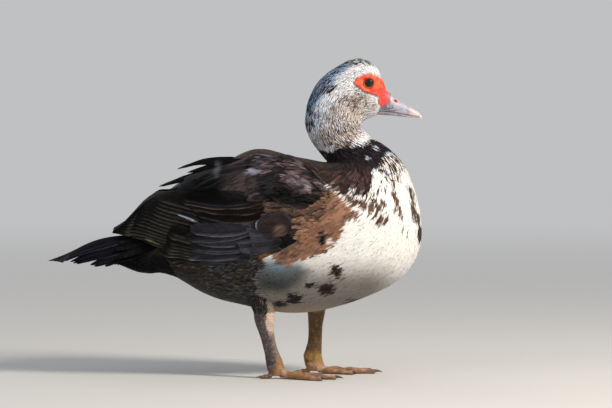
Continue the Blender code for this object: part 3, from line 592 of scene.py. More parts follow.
def feather_piece(name, groups, material, replaces=(), patch=None, soften=0.0):
    """Joins draped vanes into one mesh, with its tint, vane coordinates and bake map; soften turns their normals to the body's."""
    verts, faces, tint, vane, uvs, rims, margins, normals, uppers = [], [], [], [], [], [], [], [], []
    start = 0
    where = [np.stack([g["place"][:, 0], g["place"][:, 1]], 1) if "place" in g else np.stack([g["v"], g["u"]], 1) for g in groups]
    every = np.vstack(where)
    low, high = every.min(0), every.max(0)
    total = sum(g["n"] for g in groups)
    patch = patch or float(np.clip(0.4 / math.sqrt(max(total, 1)), 0.003, 0.05))
    number = 0
    for g, at in zip(groups, where):
        n, k = g["n"], g["plan"].count
        if n == 0:
            continue
        verts.append(g["verts"].reshape(-1, 3))
        faces.append((g["plan"].faces[None] + (start + np.arange(n) * k)[:, None, None]).reshape(-1, 4))
        tint.append(g["tint"].reshape(-1, 3))
        rand = np.repeat(lattice(np.arange(n) + number, 7, 3, 5)[:, None], k, 1)
        vane.append(np.stack([g["w"] * g["half"][:, None], g["s"] * g["length"][:, None], rand], -1).reshape(-1, 3))
        rims.append(np.tile(g["plan"].rim, n))
        normals.append(g["normal"].reshape(-1, 3))
        uppers.append(np.tile(g["plan"].above, n))
        margins.append((g["margin"] if "margin" in g else np.broadcast_to([0.0, -9.0, 0.0], (n, k, 3))).reshape(-1, 3))
        origin = (at - low) / np.maximum(high - low, 1e-9) * (1 - patch * 1.05)
        uv = origin[:, None, :] + patch * np.stack([g["w"] * 0.5 + 0.5, np.clip(g["s"], 0, 1)], -1)
        uvs.append(uv.reshape(-1, 2))
        start += n * k
        number += n
    verts, faces, uvs, rims = np.vstack(verts), np.vstack(faces), np.vstack(uvs), np.concatenate(rims)
    mesh = bpy.data.meshes.new(name)
    mesh.vertices.add(len(verts))
    mesh.vertices.foreach_set("co", verts.astype(np.float32).ravel())
    mesh.loops.add(faces.size)
    mesh.loops.foreach_set("vertex_index", faces.astype(np.int32).ravel())
    mesh.polygons.add(len(faces))
    mesh.polygons.foreach_set("loop_start", np.arange(0, faces.size, 4, dtype=np.int32))
    mesh.update(calc_edges=True)
    mesh.polygons.foreach_set("use_smooth", np.ones(len(faces), bool))
    ends = np.empty(len(mesh.edges) * 2, np.int32)
    mesh.edges.foreach_get("vertices", ends)
    ends = ends.reshape(-1, 2)
    sharp = mesh.attributes.new("sharp_edge", "BOOLEAN", "EDGE")
    sharp.data.foreach_set("value", (rims[ends[:, 0]] & rims[ends[:, 1]]))
    if soften:
        own = np.empty(faces.size * 3, np.float32)
        mesh.corner_normals.foreach_get("vector", own)
        share = soften * np.repeat(np.concatenate(uppers), 4)[:, None]
        mesh.normals_split_custom_set(unit(own.reshape(-1, 3) * (1 - share) + np.vstack(normals)[faces.ravel()] * share))
    layer = mesh.uv_layers.new(name="OFBake")
    layer.uv.foreach_set("vector", uvs[faces.ravel()].astype(np.float32).ravel())
    point_attributes(mesh, {"tint": np.vstack(tint), "vane": np.vstack(vane), "margin": np.vstack(margins)})
    obj = bpy.data.objects.new(name, mesh)
    bpy.context.scene.collection.objects.link(obj)
    mesh.materials.append(material)
    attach(obj, "root")
    if replaces:
        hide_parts(*replaces)
    print(f"{name}: {total} vanes, {2 * len(faces)} triangles")
    return obj


def point_attributes(mesh, values):
    for key, value in values.items():
        if key == "tint":
            layer = mesh.attributes.new(key, "FLOAT_COLOR", "POINT")
            layer.data.foreach_set("color", np.hstack([value, np.ones((len(value), 1))]).astype(np.float32).ravel())
        elif value.ndim == 2:
            layer = mesh.attributes.new(key, "FLOAT_VECTOR", "POINT")
            layer.data.foreach_set("vector", value.astype(np.float32).ravel())
        else:
            layer = mesh.attributes.new(key, "FLOAT", "POINT")
            layer.data.foreach_set("value", value.astype(np.float32).ravel())


# ----------------------------------------------------------------- materials
class Nodes:
    """A short way to write a node tree."""

    def __init__(self, name):
        self.mat = bpy.data.materials.new(name)
        self.mat.use_nodes = True
        self.tree = self.mat.node_tree
        self.shader = self.tree.nodes["Principled BSDF"]

    def add(self, kind, **settings):
        node = self.tree.nodes.new("ShaderNode" + kind)
        for key, value in settings.items():
            setattr(node, key, value)
        return node

    def link(self, a, b):
        self.tree.links.new(a, b)

    def attribute(self, name, output="Color"):
        node = self.add("Attribute", attribute_name=name)
        return node.outputs[output]

    def maths(self, operation, a, b=None, c=None, clamp=False):
        node = self.add("Math", operation=operation, use_clamp=clamp)
        for socket, value in zip(node.inputs, (a, b, c)):
            if value is None:
                continue
            if isinstance(value, (int, float)):
                socket.default_value = value
            else:
                self.link(value, socket)
        return node.outputs[0]

    def mix(self, factor, a, b, blend="MIX"):
        node = self.add("Mix", data_type="RGBA", blend_type=blend)
        for socket, value in ((node.inputs["Factor"], factor), (node.inputs[6], a), (node.inputs[7], b)):
            if isinstance(value, (int, float)):
                socket.default_value = value
            elif isinstance(value, (tuple, list)):
                socket.default_value = (*value, 1)
            else:
                self.link(value, socket)
        return node.outputs[2]

    def spread(self, value, low, high, to_low=0.0, to_high=1.0):
        node = self.add("MapRange")
        self.link(value, node.inputs[0])
        for socket, number in zip(node.inputs[1:5], (low, high, to_low, to_high)):
            socket.default_value = number
        return node.outputs[0]

    def noise(self, vector, scale, detail=2.0, rough=0.5):
        node = self.add("TexNoise")
        node.inputs["Scale"].default_value = scale
        node.inputs["Detail"].default_value = detail
        node.inputs["Roughness"].default_value = rough
        if vector is not None:
            self.link(vector, node.inputs["Vector"])
        return node.outputs["Fac"]

    def stretched(self, vector, scale):
        node = self.add("Mapping")
        self.link(vector, node.inputs["Vector"])
        node.inputs["Scale"].default_value = scale
        return node.outputs["Vector"]

    def bump(self, height, distance, strength=1.0, normal=None):
        node = self.add("Bump")
        self.link(height, node.inputs["Height"])
        node.inputs["Distance"].default_value = distance
        node.inputs["Strength"].default_value = strength
        if normal is not None:
            self.link(normal, node.inputs["Normal"])
        return node.outputs["Normal"]

    def set(self, **values):
        for key, value in values.items():
            socket = self.shader.inputs[key.replace("_", " ")]
            if hasattr(value, "links"):
                self.link(value, socket)
            else:
                socket.default_value = (*value, 1) if isinstance(value, tuple) and len(value) == 3 and len(socket.default_value) == 4 else value
        return self.mat


def feather_material(name, roughness, barb, streaks, specular=0.35, sheen=0.0, sheen_tint=(1, 1, 1), bump=0.00012, edge=0.0):
    """Feather: the point's tint, with barbs running out from the shaft, soft streaks along the vane, a paler painted
    highlight along the free edge, and painted shade where the next feather covers it.
    """
    t = Nodes(name)
    vane = t.attribute("vane", "Vector")
    parts = t.add("SeparateXYZ")
    t.link(vane, parts.inputs[0])
    w, s, rand = parts.outputs
    # barbs leave the shaft at a slant: lines of equal s - 1.6 |w|
    slant = t.maths("SUBTRACT", s, t.maths("MULTIPLY", t.maths("ABSOLUTE", w), 1.6))
    joined = t.add("CombineXYZ")
    t.link(t.maths("MULTIPLY", slant, 1.0), joined.inputs[0])
    t.link(t.maths("MULTIPLY", w, 0.12), joined.inputs[1])
    t.link(rand, joined.inputs[2])
    lines = t.noise(joined.outputs[0], barb, 2.0, 0.6)
    along = t.add("CombineXYZ")
    t.link(w, along.inputs[0])
    t.link(t.maths("MULTIPLY", s, 0.10), along.inputs[1])
    t.link(rand, along.inputs[2])
    strand = t.noise(along.outputs[0], barb * 1.4, 2.0, 0.6)
    pattern = t.maths("ADD", t.maths("MULTIPLY", lines, 0.5), t.maths("MULTIPLY", strand, 0.5))
    tone = t.spread(pattern, 0.37, 0.63, 1 - streaks, 1 + streaks)
    if edge:
        rim = t.add("SeparateXYZ")
        t.link(t.attribute("margin", "Vector"), rim.inputs[0])
        outward, covered, strength = rim.outputs
        # painted highlight: a pale line along the vane's free edge
        line = t.maths("MULTIPLY", t.spread(outward, 0.78, 0.92, 0.0, edge), strength)
        # painted shade: darker where the next feather covers the vane
        deep = t.spread(t.maths("SUBTRACT", outward, covered), 0.0, 0.40, 0.35, 1.0)
        tone = t.maths("MULTIPLY", t.maths("MULTIPLY", tone, deep), t.maths("ADD", line, 1.0))
    scale = t.add("VectorMath", operation="SCALE")
    t.link(t.attribute("tint"), scale.inputs[0])
    t.link(tone, scale.inputs["Scale"])
    t.set(Base_Color=scale.outputs[0], Roughness=roughness, Specular_IOR_Level=specular * 1.4, IOR=1.22,
          Sheen_Weight=sheen, Sheen_Tint=sheen_tint, Sheen_Roughness=0.45, Normal=t.bump(pattern, bump, 0.8))
    return t.mat


SOFT = feather_material("soft_feather", 0.75, 900.0, 0.14, 0.15, 0.08, (1.0, 0.98, 0.96))
DOWNY = feather_material("body_feather", 0.78, 700.0, 0.12, 0.12, 0.08, (1.0, 0.98, 0.96), bump=0.00007)
GLOSSY = feather_material("wing_feather", 0.52, 300.0, 0.45, 0.11, bump=0.00030, edge=3.0)
FLIGHT = feather_material("flight_feather", 0.44, 240.0, 0.40, 0.09, bump=0.00030, edge=4.0)
STEER = feather_material("tail_feather", 0.50, 260.0, 0.40, 0.045, bump=0.00025, edge=4.0)


def skin_material():
    """Skin: the point's tint, with folds on the face and small plates on the legs."""
    t = Nodes("bird_skin")
    place = t.add("NewGeometry").outputs["Position"]
    legs, face = t.attribute("legs", "Fac"), t.attribute("face", "Fac")
    cells = t.add("TexVoronoi", feature="DISTANCE_TO_EDGE")
    cells.inputs["Scale"].default_value = 620.0
    t.link(t.stretched(place, (1.0, 1.0, 0.8)), cells.inputs["Vector"])
    plates = t.spread(cells.outputs["Distance"], 0.02, 0.22)
    warts = t.add("TexVoronoi", feature="SMOOTH_F1")
    warts.inputs["Scale"].default_value = 900.0
    t.link(place, warts.inputs["Vector"])
    wart = t.spread(warts.outputs["Distance"], 0.0, 0.7, 1.0, 0.0)
    fine = t.noise(place, 2200.0, 3.0, 0.6)
    broad = t.noise(place, 240.0, 3.0, 0.6)
    tint = t.attribute("tint")
    crease = t.mix(t.maths("MULTIPLY", t.spread(plates, 0.0, 1.0, 0.55, 0.0), legs), tint, (0.010, 0.008, 0.008))
    # painted shade: darker red in the hollows between the warts
    wart_hollow_shade = t.mix(t.maths("MULTIPLY", t.spread(wart, 0.1, 0.8, 0.80, 0.0), face), crease, (0.46, 0.010, 0.012))
    worn = t.mix(t.maths("MULTIPLY", t.spread(broad, 0.42, 0.70, 0.0, 0.40), face), wart_hollow_shade, (0.95, 0.24, 0.07))
    mottled = t.mix(t.maths("MULTIPLY", t.spread(broad, 0.50, 0.68, 0.0, 0.45), legs), worn, (0.42, 0.27, 0.17))
    height = t.maths("ADD", t.maths("MULTIPLY", t.maths("MULTIPLY", plates, legs), 1.0), t.maths("MULTIPLY", t.maths("MULTIPLY", wart, face), 0.9))
    height = t.maths("ADD", height, t.maths("MULTIPLY", fine, 0.25))
    rough = t.maths("SUBTRACT", 0.62, t.maths("ADD", t.maths("MULTIPLY", face, 0.16), t.maths("MULTIPLY", legs, 0.12)))
    t.set(Base_Color=mottled, Roughness=rough, Specular_IOR_Level=0.26, Normal=t.bump(height, 0.0005, 0.9), Coat_Weight=0.05, Coat_Roughness=0.35,
          Subsurface_Weight=0.0)
    return t.mat


# -------------------------------------------------------------- closed shapes
def wing_covers(P, margin=0.0):
    """Where the folded wing hides the body: inside its outline by a margin in grid squares."""
    x, y = elevation(P)
    xs = np.array([r[0] for r in WING])[::-1]
    line, tall, wide, top, low = (np.array([r[k] for r in WING])[::-1] for k in (1, 2, 3, 4, 5))
    at = lambda a: np.interp(x, xs, a)
    up = at(line) - at(tall) * np.sin(np.radians(at(top)))
    down = at(line) - at(tall) * np.sin(np.radians(at(low)))
    out = np.abs(P[:, 1]) / GRID > at(wide) * np.cos(np.radians(at(top)))
    return (x > 112) & (x < 338 - margin) & (y > up + margin) & (y < down - margin) & out


def tube(rings):
    """Vertices and faces of rings closed by a cone of faces at each end, facing out."""
    rings = np.asarray(rings, float)
    n, k = rings.shape[:2]
    verts = np.vstack([rings.reshape(-1, 3), rings[0].mean(0)[None], rings[-1].mean(0)[None]])
    i, j = np.meshgrid(np.arange(n - 1), np.arange(k), indexing="ij")
    j1 = (j + 1) % k
    quads = np.stack([i * k + j, i * k + j1, (i + 1) * k + j1, (i + 1) * k + j], -1).reshape(-1, 4)
    e = np.arange(k)
    e1 = (e + 1) % k
    first = np.stack([np.full(k, n * k), e1, e], -1)
    last = np.stack([np.full(k, n * k + 1), (n - 1) * k + e, (n - 1) * k + e1], -1)
    a, b, c, d = (verts[quads[:, m]] for m in range(4))
    volume = (np.cross(a, b) * c).sum() + (np.cross(a, c) * d).sum()
    for tri in (first, last):
        volume += (np.cross(verts[tri[:, 0]], verts[tri[:, 1]]) * verts[tri[:, 2]]).sum()
    if volume < 0:
        quads, first, last = quads[:, ::-1], first[:, ::-1], last[:, ::-1]
    return verts, [quads, first, last]


def mesh_of(name, verts, groups):
    mesh = bpy.data.meshes.new(name)
    sizes = np.concatenate([np.full(len(g), g.shape[1]) for g in groups])
    loops = np.concatenate([g.ravel() for g in groups]).astype(np.int32)
    mesh.vertices.add(len(verts))
    mesh.vertices.foreach_set("co", np.asarray(verts, np.float32).ravel())
    mesh.loops.add(len(loops))
    mesh.loops.foreach_set("vertex_index", loops)
    mesh.polygons.add(len(sizes))
    mesh.polygons.foreach_set("loop_start", np.concatenate([[0], sizes.cumsum()[:-1]]).astype(np.int32))
    mesh.update(calc_edges=True)
    mesh.polygons.foreach_set("use_smooth", np.ones(len(sizes), bool))
    return mesh


def joined(parts):
    verts, groups, start = [], [], 0
    for v, g in parts:
        verts.append(v)
        groups += [f + start for f in g]
        start += len(v)
    return np.vstack(verts), groups


def place_object(name, mesh, material=None):
    obj = bpy.data.objects.new(name, mesh)
    bpy.context.scene.collection.objects.link(obj)
    if material:
        mesh.materials.append(material)
    return obj


def evaluated(obj, name):
    graph = bpy.context.evaluated_depsgraph_get()
    mesh = bpy.data.meshes.new_from_object(obj.evaluated_get(graph))
    mesh.name = name
    bpy.data.objects.remove(obj)
    return mesh


def coords(mesh, what="vertices"):
    values = np.empty(len(mesh.vertices) * 3, np.float32)
    if what == "vertices":
        mesh.vertices.foreach_get("co", values)
    else:
        mesh.vertex_normals.foreach_get("vector", values)
    return values.reshape(-1, 3).astype(float)


def put_coords(mesh, points):
    mesh.vertices.foreach_set("co", points.astype(np.float32).ravel())
    mesh.update()


def edge_ends(mesh):
    ends = np.empty(len(mesh.edges) * 2, np.int32)
    mesh.edges.foreach_get("vertices", ends)
    return ends.reshape(-1, 2)


def relax(points, ends, steps, share=0.5, hold=None):
    count = np.bincount(ends.ravel(), minlength=len(points)).astype(float)[:, None]
    for _ in range(steps):
        total = np.stack([np.bincount(ends[:, 0], points[ends[:, 1], c], len(points)) + np.bincount(ends[:, 1], points[ends[:, 0], c], len(points)) for c in range(3)], -1)
        move = (total / np.maximum(count, 1) - points) * share
        points = points + (move if hold is None else move * hold[:, None])
    return points


def cells(points, size, seed):
    """Distance to the nearest and the second nearest of scattered points, in units of size."""
    q = points / size
    base = np.floor(q).astype(np.int64)
    best, second = np.full(len(q), 9.0), np.full(len(q), 9.0)
    for dx in (-1, 0, 1):
        for dy in (-1, 0, 1):
            for dz in (-1, 0, 1):
                c = base + (dx, dy, dz)
                spot = c + np.stack([lattice(c[:, 0], c[:, 1], c[:, 2], seed + m) for m in range(3)], -1)
                r = np.linalg.norm(q - spot, axis=1)
                second = np.minimum(second, np.maximum(best, r))
                best = np.minimum(best, r)
    return best, second


# ---------------------------------------------------------------------- skin
EYES = {}
for sign, name in ((-1, "eye_right"), (1, "eye_left")):
    low, high = (np.array(v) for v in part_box(name))
    EYES[sign] = (low + high) / 2


def eye_axis(sign):
    return unit(np.array([0.10, sign * 1.0, 0.05]))


def body_skin():
    t = np.concatenate([np.linspace(0, 5, 121)[:-1], np.linspace(5, 8, 43)[:-1], np.linspace(8, 15, 57)[:-1], np.linspace(15, RUNGS - 1, 131)])
    rows = curve(flat(HEAD + NECK + TRUNK), t)
    fine = np.linspace(0, 2 * math.pi, 2001)
    crowd = 1 + 1.5 * np.exp(-((np.degrees(fine) - 76) / 26) ** 2) + 1.5 * np.exp(-((np.degrees(fine) - 284) / 26) ** 2)
    share = np.concatenate([[0], np.cumsum((crowd[1:] + crowd[:-1]) / 2)])
    a = np.interp(np.linspace(0, 1, 280, endpoint=False), share / share[-1], fine)
    c, s = np.cos(a)[None, :], np.sin(a)[None, :]
    top, bottom = side(rows[:, 0], rows[:, 1])[:, None], side(rows[:, 2], rows[:, 3])[:, None]
    points = (top + bottom) / 2 + (top - bottom) / 2 * c[..., None]
    points[..., 1] += rows[:, 4:5] * GRID * s * (1 + rows[:, 5:6] * c)
    around = Surface(points, True, points - (top + bottom) / 2)
    bare = bare_face(points)
    points = points - around.N * (coat_depth(t)[:, None] * (1 - bare))[..., None]
    # the flesh of the face stands a little proud, and is warty
    warts, _ = cells(points.reshape(-1, 3), 0.0021, 11)
    wart = (1 - np.clip(warts, 0, 1)).reshape(bare.shape)
    points = points + around.N * (bare * (0.0002 + 0.00055 * wart * ramp(noise(points, 0.006, 21), 0.25, 0.7)))[..., None]
    x, y = elevation(points)
    rim = np.exp(-((outline_distance(FACE, x, y) - 1.2) / 1.0) ** 2) * (x > 340) * (x < 384)
    points = points + around.N * (rim * 0.0004)[..., None]
    # lids round each eye, and the hollow that the ball sits in
    for sign in (-1, 1):
        centre, axis = EYES[sign], eye_axis(sign)
        d = points - centre
        r = np.linalg.norm(d, axis=-1)
        way = d / np.maximum(r, 1e-9)[..., None]
        theta = np.degrees(np.arccos(np.clip((way * axis).sum(-1), -1, 1)))
        up = unit(np.array([0, 0, 1.0]) - axis * axis[2])
        fore = np.cross(up, axis)
        phi = np.arctan2((way * up).sum(-1), (way * fore).sum(-1))
        opening = 40.5 + 2.2 * np.cos(2 * phi) - 2.0 * ramp(np.sin(phi), 0.3, 1.0)
        near = (r < 0.016) & (theta < 75)
        past = theta - opening
        lid = EYE_RADIUS + np.interp(past, [-9, -2.5, 0.0, 2.5, 6.5, 11, 17], [-0.0014, -0.0011, 0.00055, 0.00105, 0.0009, 0.0003, 0.0])
        hold = ramp(past, 17, 8) * near
        groove = np.exp(-((past - 12.5) / 2.6) ** 2) * 0.00035 * near
        points = centre + way * (r * (1 - hold) + lid * hold - groove)[..., None]
    return points


def wing_base(sign):
    surface = wing_surface(sign, 0.0058)
    rows = np.arange(6, (len(WING) - 5) * 12, 3)
    cols = np.arange(3, surface.nv - 5, 2)
    outer_arc = surface.P[rows][:, cols]
    normal = surface.N[rows][:, cols]
    lens = np.sin(math.pi * np.linspace(0.03, 0.97, len(cols)))[None, :]
    deep = 0.0010 + np.interp(rows, [0, 30, 90, 120, 160], [0.002, 0.010, 0.009, 0.005, 0.002])[:, None] * lens
    inner = outer_arc - normal * deep[..., None]
    return tube(np.concatenate([outer_arc, inner[:, ::-1]], 1))


def tail_base():
    surface = tail_surface(0.0024)
    rows = np.arange(0, 56, 4)
    cols = np.arange(12, 49, 3)
    top = surface.P[rows][:, cols] - np.array([0, 0, 1]) * (0.0078 * np.abs(np.linspace(-0.6, 0.6, len(cols))))[None, :, None]
    low = top - np.array([0, 0, 1]) * (0.0030 * np.sin(math.pi * np.linspace(0.12, 0.88, len(cols))))[None, :, None]
    return tube(np.concatenate([top, low[:, ::-1]], 1))


def ellipse_ring(centre, fore, sideways, around):
    a = np.linspace(0, 2 * math.pi, around, endpoint=False)
    ring = np.zeros((around, 3)) + centre
    ring[:, 0] += fore * np.cos(a)
    ring[:, 1] += sideways * np.sin(a)
    return ring


def leg_rings(rows, sign, steps, around=40):
    fine = curve(rows, np.linspace(0, len(rows) - 1, (len(rows) - 1) * steps + 1))
    rings = []
    for y, x, fore, sideways in fine:
        lateral = sign * (HIP_SPREAD + (FOOT_SPREAD - HIP_SPREAD) * (y - 300.0) / 60.0)
        rings.append(ellipse_ring(side(x, y, lateral), fore * GRID, sideways * GRID, around))
    return np.array(rings)


def toe_rings(root, yaw, length, thick, drop, steps=40, around=28):
    along, across = np.array([math.cos(yaw), math.sin(yaw), 0]), np.array([-math.sin(yaw), math.cos(yaw), 0])
    a = np.linspace(0, 2 * math.pi, around, endpoint=False)
    rings = []
    for t in np.linspace(0, 1, steps + 1):
        radius = thick * (1 - 0.42 * t) * (1 + 0.11 * math.cos(6 * math.pi * t))
        radius *= 1 if t < 0.95 else 1 - (t - 0.95) * 6
        height = max(radius, thick * 0.5) - 0.0004 + drop * max(0.0, 1 - t / 0.28) ** 2
        p = root + along * length * t
        ring = np.array([p[0], p[1], height]) + across * (radius * 1.04 * np.cos(a))[:, None] + np.array([0, 0, 1.0]) * (radius * np.sin(a))[:, None]
        rings.append(ring)
    return np.array(rings)


def leg_shape(side_name):
    """The thigh's lower end, shank, toes and web of one leg as one closed skin."""
    sign, root_at, yaw, hind = FEET[side_name]
    root = side(*root_at, sign * FOOT_SPREAD)
    root[2] = 0.0
    thigh = leg_rings([(y, x, f * 0.86, s * 0.86) for y, x, f, s in THIGHS[side_name][:-1]] + [THIGHS[side_name][-1]] + SHANKS[side_name], sign, 5)
    end = thigh[-1]
    centre = end.mean(0)
    block = [end]
    for share, spread, low in ((0.35, 1.05, 0.0125), (0.7, 1.08, 0.0080), (1.0, 0.90, 0.0030)):
        ring = end - centre
        ring = ring * np.array([spread, spread, 0]) + centre + (root - centre) * share
        ring[:, 2] = low
        block.append(ring)
    parts = [tube(thigh), tube(curve(np.array(block).reshape(len(block), -1), np.linspace(0, 3, 13)).reshape(13, -1, 3))]
    turns = {}
    yaw = math.radians(yaw)
    for toe, length in TOE_LENGTHS.items():
        turns[toe] = yaw - sign * math.radians(TOE_SPLAY[toe])
        parts.append(tube(toe_rings(root, turns[toe], length, TOE_THICK[toe], 0.0052)))
    hind = math.radians(hind)
    start = centre + (root - centre) * 0.6
    start[2] = 0
    start = start + np.array([math.cos(hind), math.sin(hind), 0]) * 0.005
    parts.append(tube(toe_rings(start, hind, 0.0155, 0.0036, 0.0050)))
    # web between the toes, hollow at its front edge
    rim = []
    ends = [root + np.array([math.cos(turns[k]), math.sin(turns[k]), 0]) * TOE_LENGTHS[k] * r for k, r in (("ii", 0.95), ("iii", 0.90), ("iv", 0.95))]
    for a, b in zip(ends, ends[1:]):
        for t in np.linspace(0, 1, 15):
            p = a + (b - a) * t
            rim.append(p + (root - p) * math.sin(math.pi * t) * 0.17)
    rim = np.array(rim)
    layers = []
    for t in np.linspace(0.02, 1, 30):
        layers.append(root + (rim - root) * t)
    layers = np.array(layers)
    fan = np.linspace(0, 2, layers.shape[1])
    sag = 0.0010 * np.abs(np.sin(math.pi * fan))[None, :] * np.linspace(0, 1, 30)[:, None]
    high = layers.copy()
    high[..., 2] = 0.0026 - sag
    low = layers.copy()
    low[..., 2] = 0.0009 - sag * 0.4
    parts.append(tube(np.concatenate([high, low[:, ::-1]], 1)))
    verts, groups = joined(parts)
    obj = place_object("leg_" + side_name, mesh_of("leg_" + side_name, verts, groups))
    mod = obj.modifiers.new("fuse", "REMESH")
    mod.mode, mod.voxel_size, mod.adaptivity = "VOXEL", 0.00068, 0.0
    mesh = evaluated(obj, "leg_skin_" + side_name)
    points, ends = coords(mesh), edge_ends(mesh)
    points = relax(points, ends, 4, 0.5)
    put_coords(mesh, points)
    normal = coords(mesh, "normals")
    below = ramp(points[:, 2], 0.0755, 0.066)
    near, second = cells(points * np.array([1, 1, 0.85]), 0.0021, 31)
    plates = ramp(second - near, 0.02, 0.30)
    run = np.linalg.norm(points[:, :2] - root[:2], axis=1)
    scutes = ramp(np.abs(np.sin(math.pi * run / 0.0027)), 0.0, 0.45)
    high_toe = ramp(points[:, 2], 0.0028, 0.0042) * ramp(points[:, 2], 0.016, 0.010) * ramp(normal[:, 2], -0.2, 0.4) * ramp(run, 0.010, 0.016)
    front = ramp(normal[:, 0], 0.35, 0.75) * ramp(points[:, 2], 0.018, 0.028)
    bands = ramp(np.abs(np.sin(math.pi * points[:, 2] / 0.0030)), 0.0, 0.45)
    relief = plates * (1 - np.maximum(high_toe, front)) + scutes * high_toe + bands * front
    points = points + normal * (0.00030 * (relief - 0.6) * below * ramp(points[:, 2], 0.0, 0.0012))[:, None]
    points[:, 2] = np.maximum(points[:, 2], 0.0)
    put_coords(mesh, points)
    return mesh


def leg_tint(points):
    """Colour of the naked leg: the near shank slate with a pale front, painted as its shaded and sunlit sides, the far
    one olive, orange-tan toes.
    """
    x, y = elevation(points)
    right = (points[:, 1] < 0)[:, None]
    rows = np.array(THIGHS["right"] + SHANKS["right"])
    lean = (x - np.interp(y, rows[:, 0], rows[:, 1])) / np.interp(y, rows[:, 0], rows[:, 2])
    blotch = ramp(noise(points, 0.006, 41) * 0.6 + noise(points, 0.0025, 42) * 0.4, 0.42, 0.62)[:, None]
    near = np.array([0.062, 0.052, 0.054]) * (1 + 0.9 * blotch)
    # painted light: the near shank's front strip is pale as if sunlit; the slate of the rest is partly its own colour,
    # partly painted shade
    front = (ramp(lean + 0.35 * (noise(points, 0.004, 45) - 0.5), 0.0, 0.30) * ramp(points[:, 2], 0.048, 0.060))[:, None]
    near = near * (1 - front) + np.array([0.80, 0.61, 0.52]) * front
    scutes = (ramp(lean, 0.35, 0.75) * ramp(points[:, 2], 0.056, 0.048) * (0.35 + 0.65 * noise(points, 0.0025, 46)))[:, None]
    near = near * (1 - scutes * 0.8) + np.array([0.40, 0.30, 0.24]) * scutes * 0.8
    far = np.array([0.185, 0.108, 0.046]) * (1 - 0.45 * blotch) + np.array([0.05, 0.025, 0.0]) * blotch
    ankle = (ramp(points[:, 2], 0.030, 0.020) * ramp(noise(points, 0.005, 47), 0.25, 0.55))[:, None]
    far = far * (1 - ankle * 0.8) + np.array([0.52, 0.27, 0.060]) * ankle * 0.8
    fore_side = ramp(lean, 0.05, 0.45)[:, None]
    near = near * (1 - ankle * 0.8 * fore_side) + np.array([0.46, 0.22, 0.075]) * ankle * 0.8 * fore_side
    shank = np.where(right, near, far)
    low = ramp(points[:, 2], 0.017, 0.006)[:, None]
    pinkish = ramp(noise(points, 0.006, 43), 0.42, 0.62)[:, None]
    foot = np.array([0.46, 0.225, 0.080]) * (1 - pinkish) + np.array([0.66, 0.40, 0.31]) * pinkish
    heel = (ramp(x, 278, 270) * right[:, 0])[:, None]
    foot = foot * (1 - heel * 0.75) + np.array([0.075, 0.058, 0.056]) * heel * 0.75
    dirt = 0.50 * ramp(noise(points, 0.007, 44), 0.50, 0.70)[:, None]
    foot = foot * (1 - dirt) + np.array([0.14, 0.085, 0.055]) * dirt
    return shank * (1 - low) + foot * low


def face_tint(points):
    warm = noise(points, 0.004, 51)[:, None]
    warm = ramp(warm, 0.25, 0.75)
    red, orange = np.array([0.76, 0.034, 0.024]), np.array([0.90, 0.16, 0.045])
    found = red * (1 - warm) + orange * warm
    x, y = elevation(points)
    low = (ramp(x, 374, 383) * ramp(y, 80, 92) * (0.6 + 0.4 * noise(points, 0.003, 52)))[:, None]
    return found * (1 - low * 0.80) + np.array([0.74, 0.060, 0.085]) * low * 0.80


def near_leg(points):
    """True close to the shanks and feet, and not on the belly above them."""
    x, y = elevation(points)
    found = points[:, 2] < 0.0745
    for rows, sign in ((THIGHS["right"] + SHANKS["right"], -1), (THIGHS["left"] + SHANKS["left"], 1)):
        rows = np.array(rows)
        cx, fore = np.interp(y, rows[:, 0], rows[:, 1]), np.interp(y, rows[:, 0], rows[:, 2])
        lateral = sign * (HIP_SPREAD + (FOOT_SPREAD - HIP_SPREAD) * (y - 300) / 60) / GRID
        found = found | (np.hypot(x - cx, points[:, 1] / GRID - lateral) < fore * 1.12)
    return found


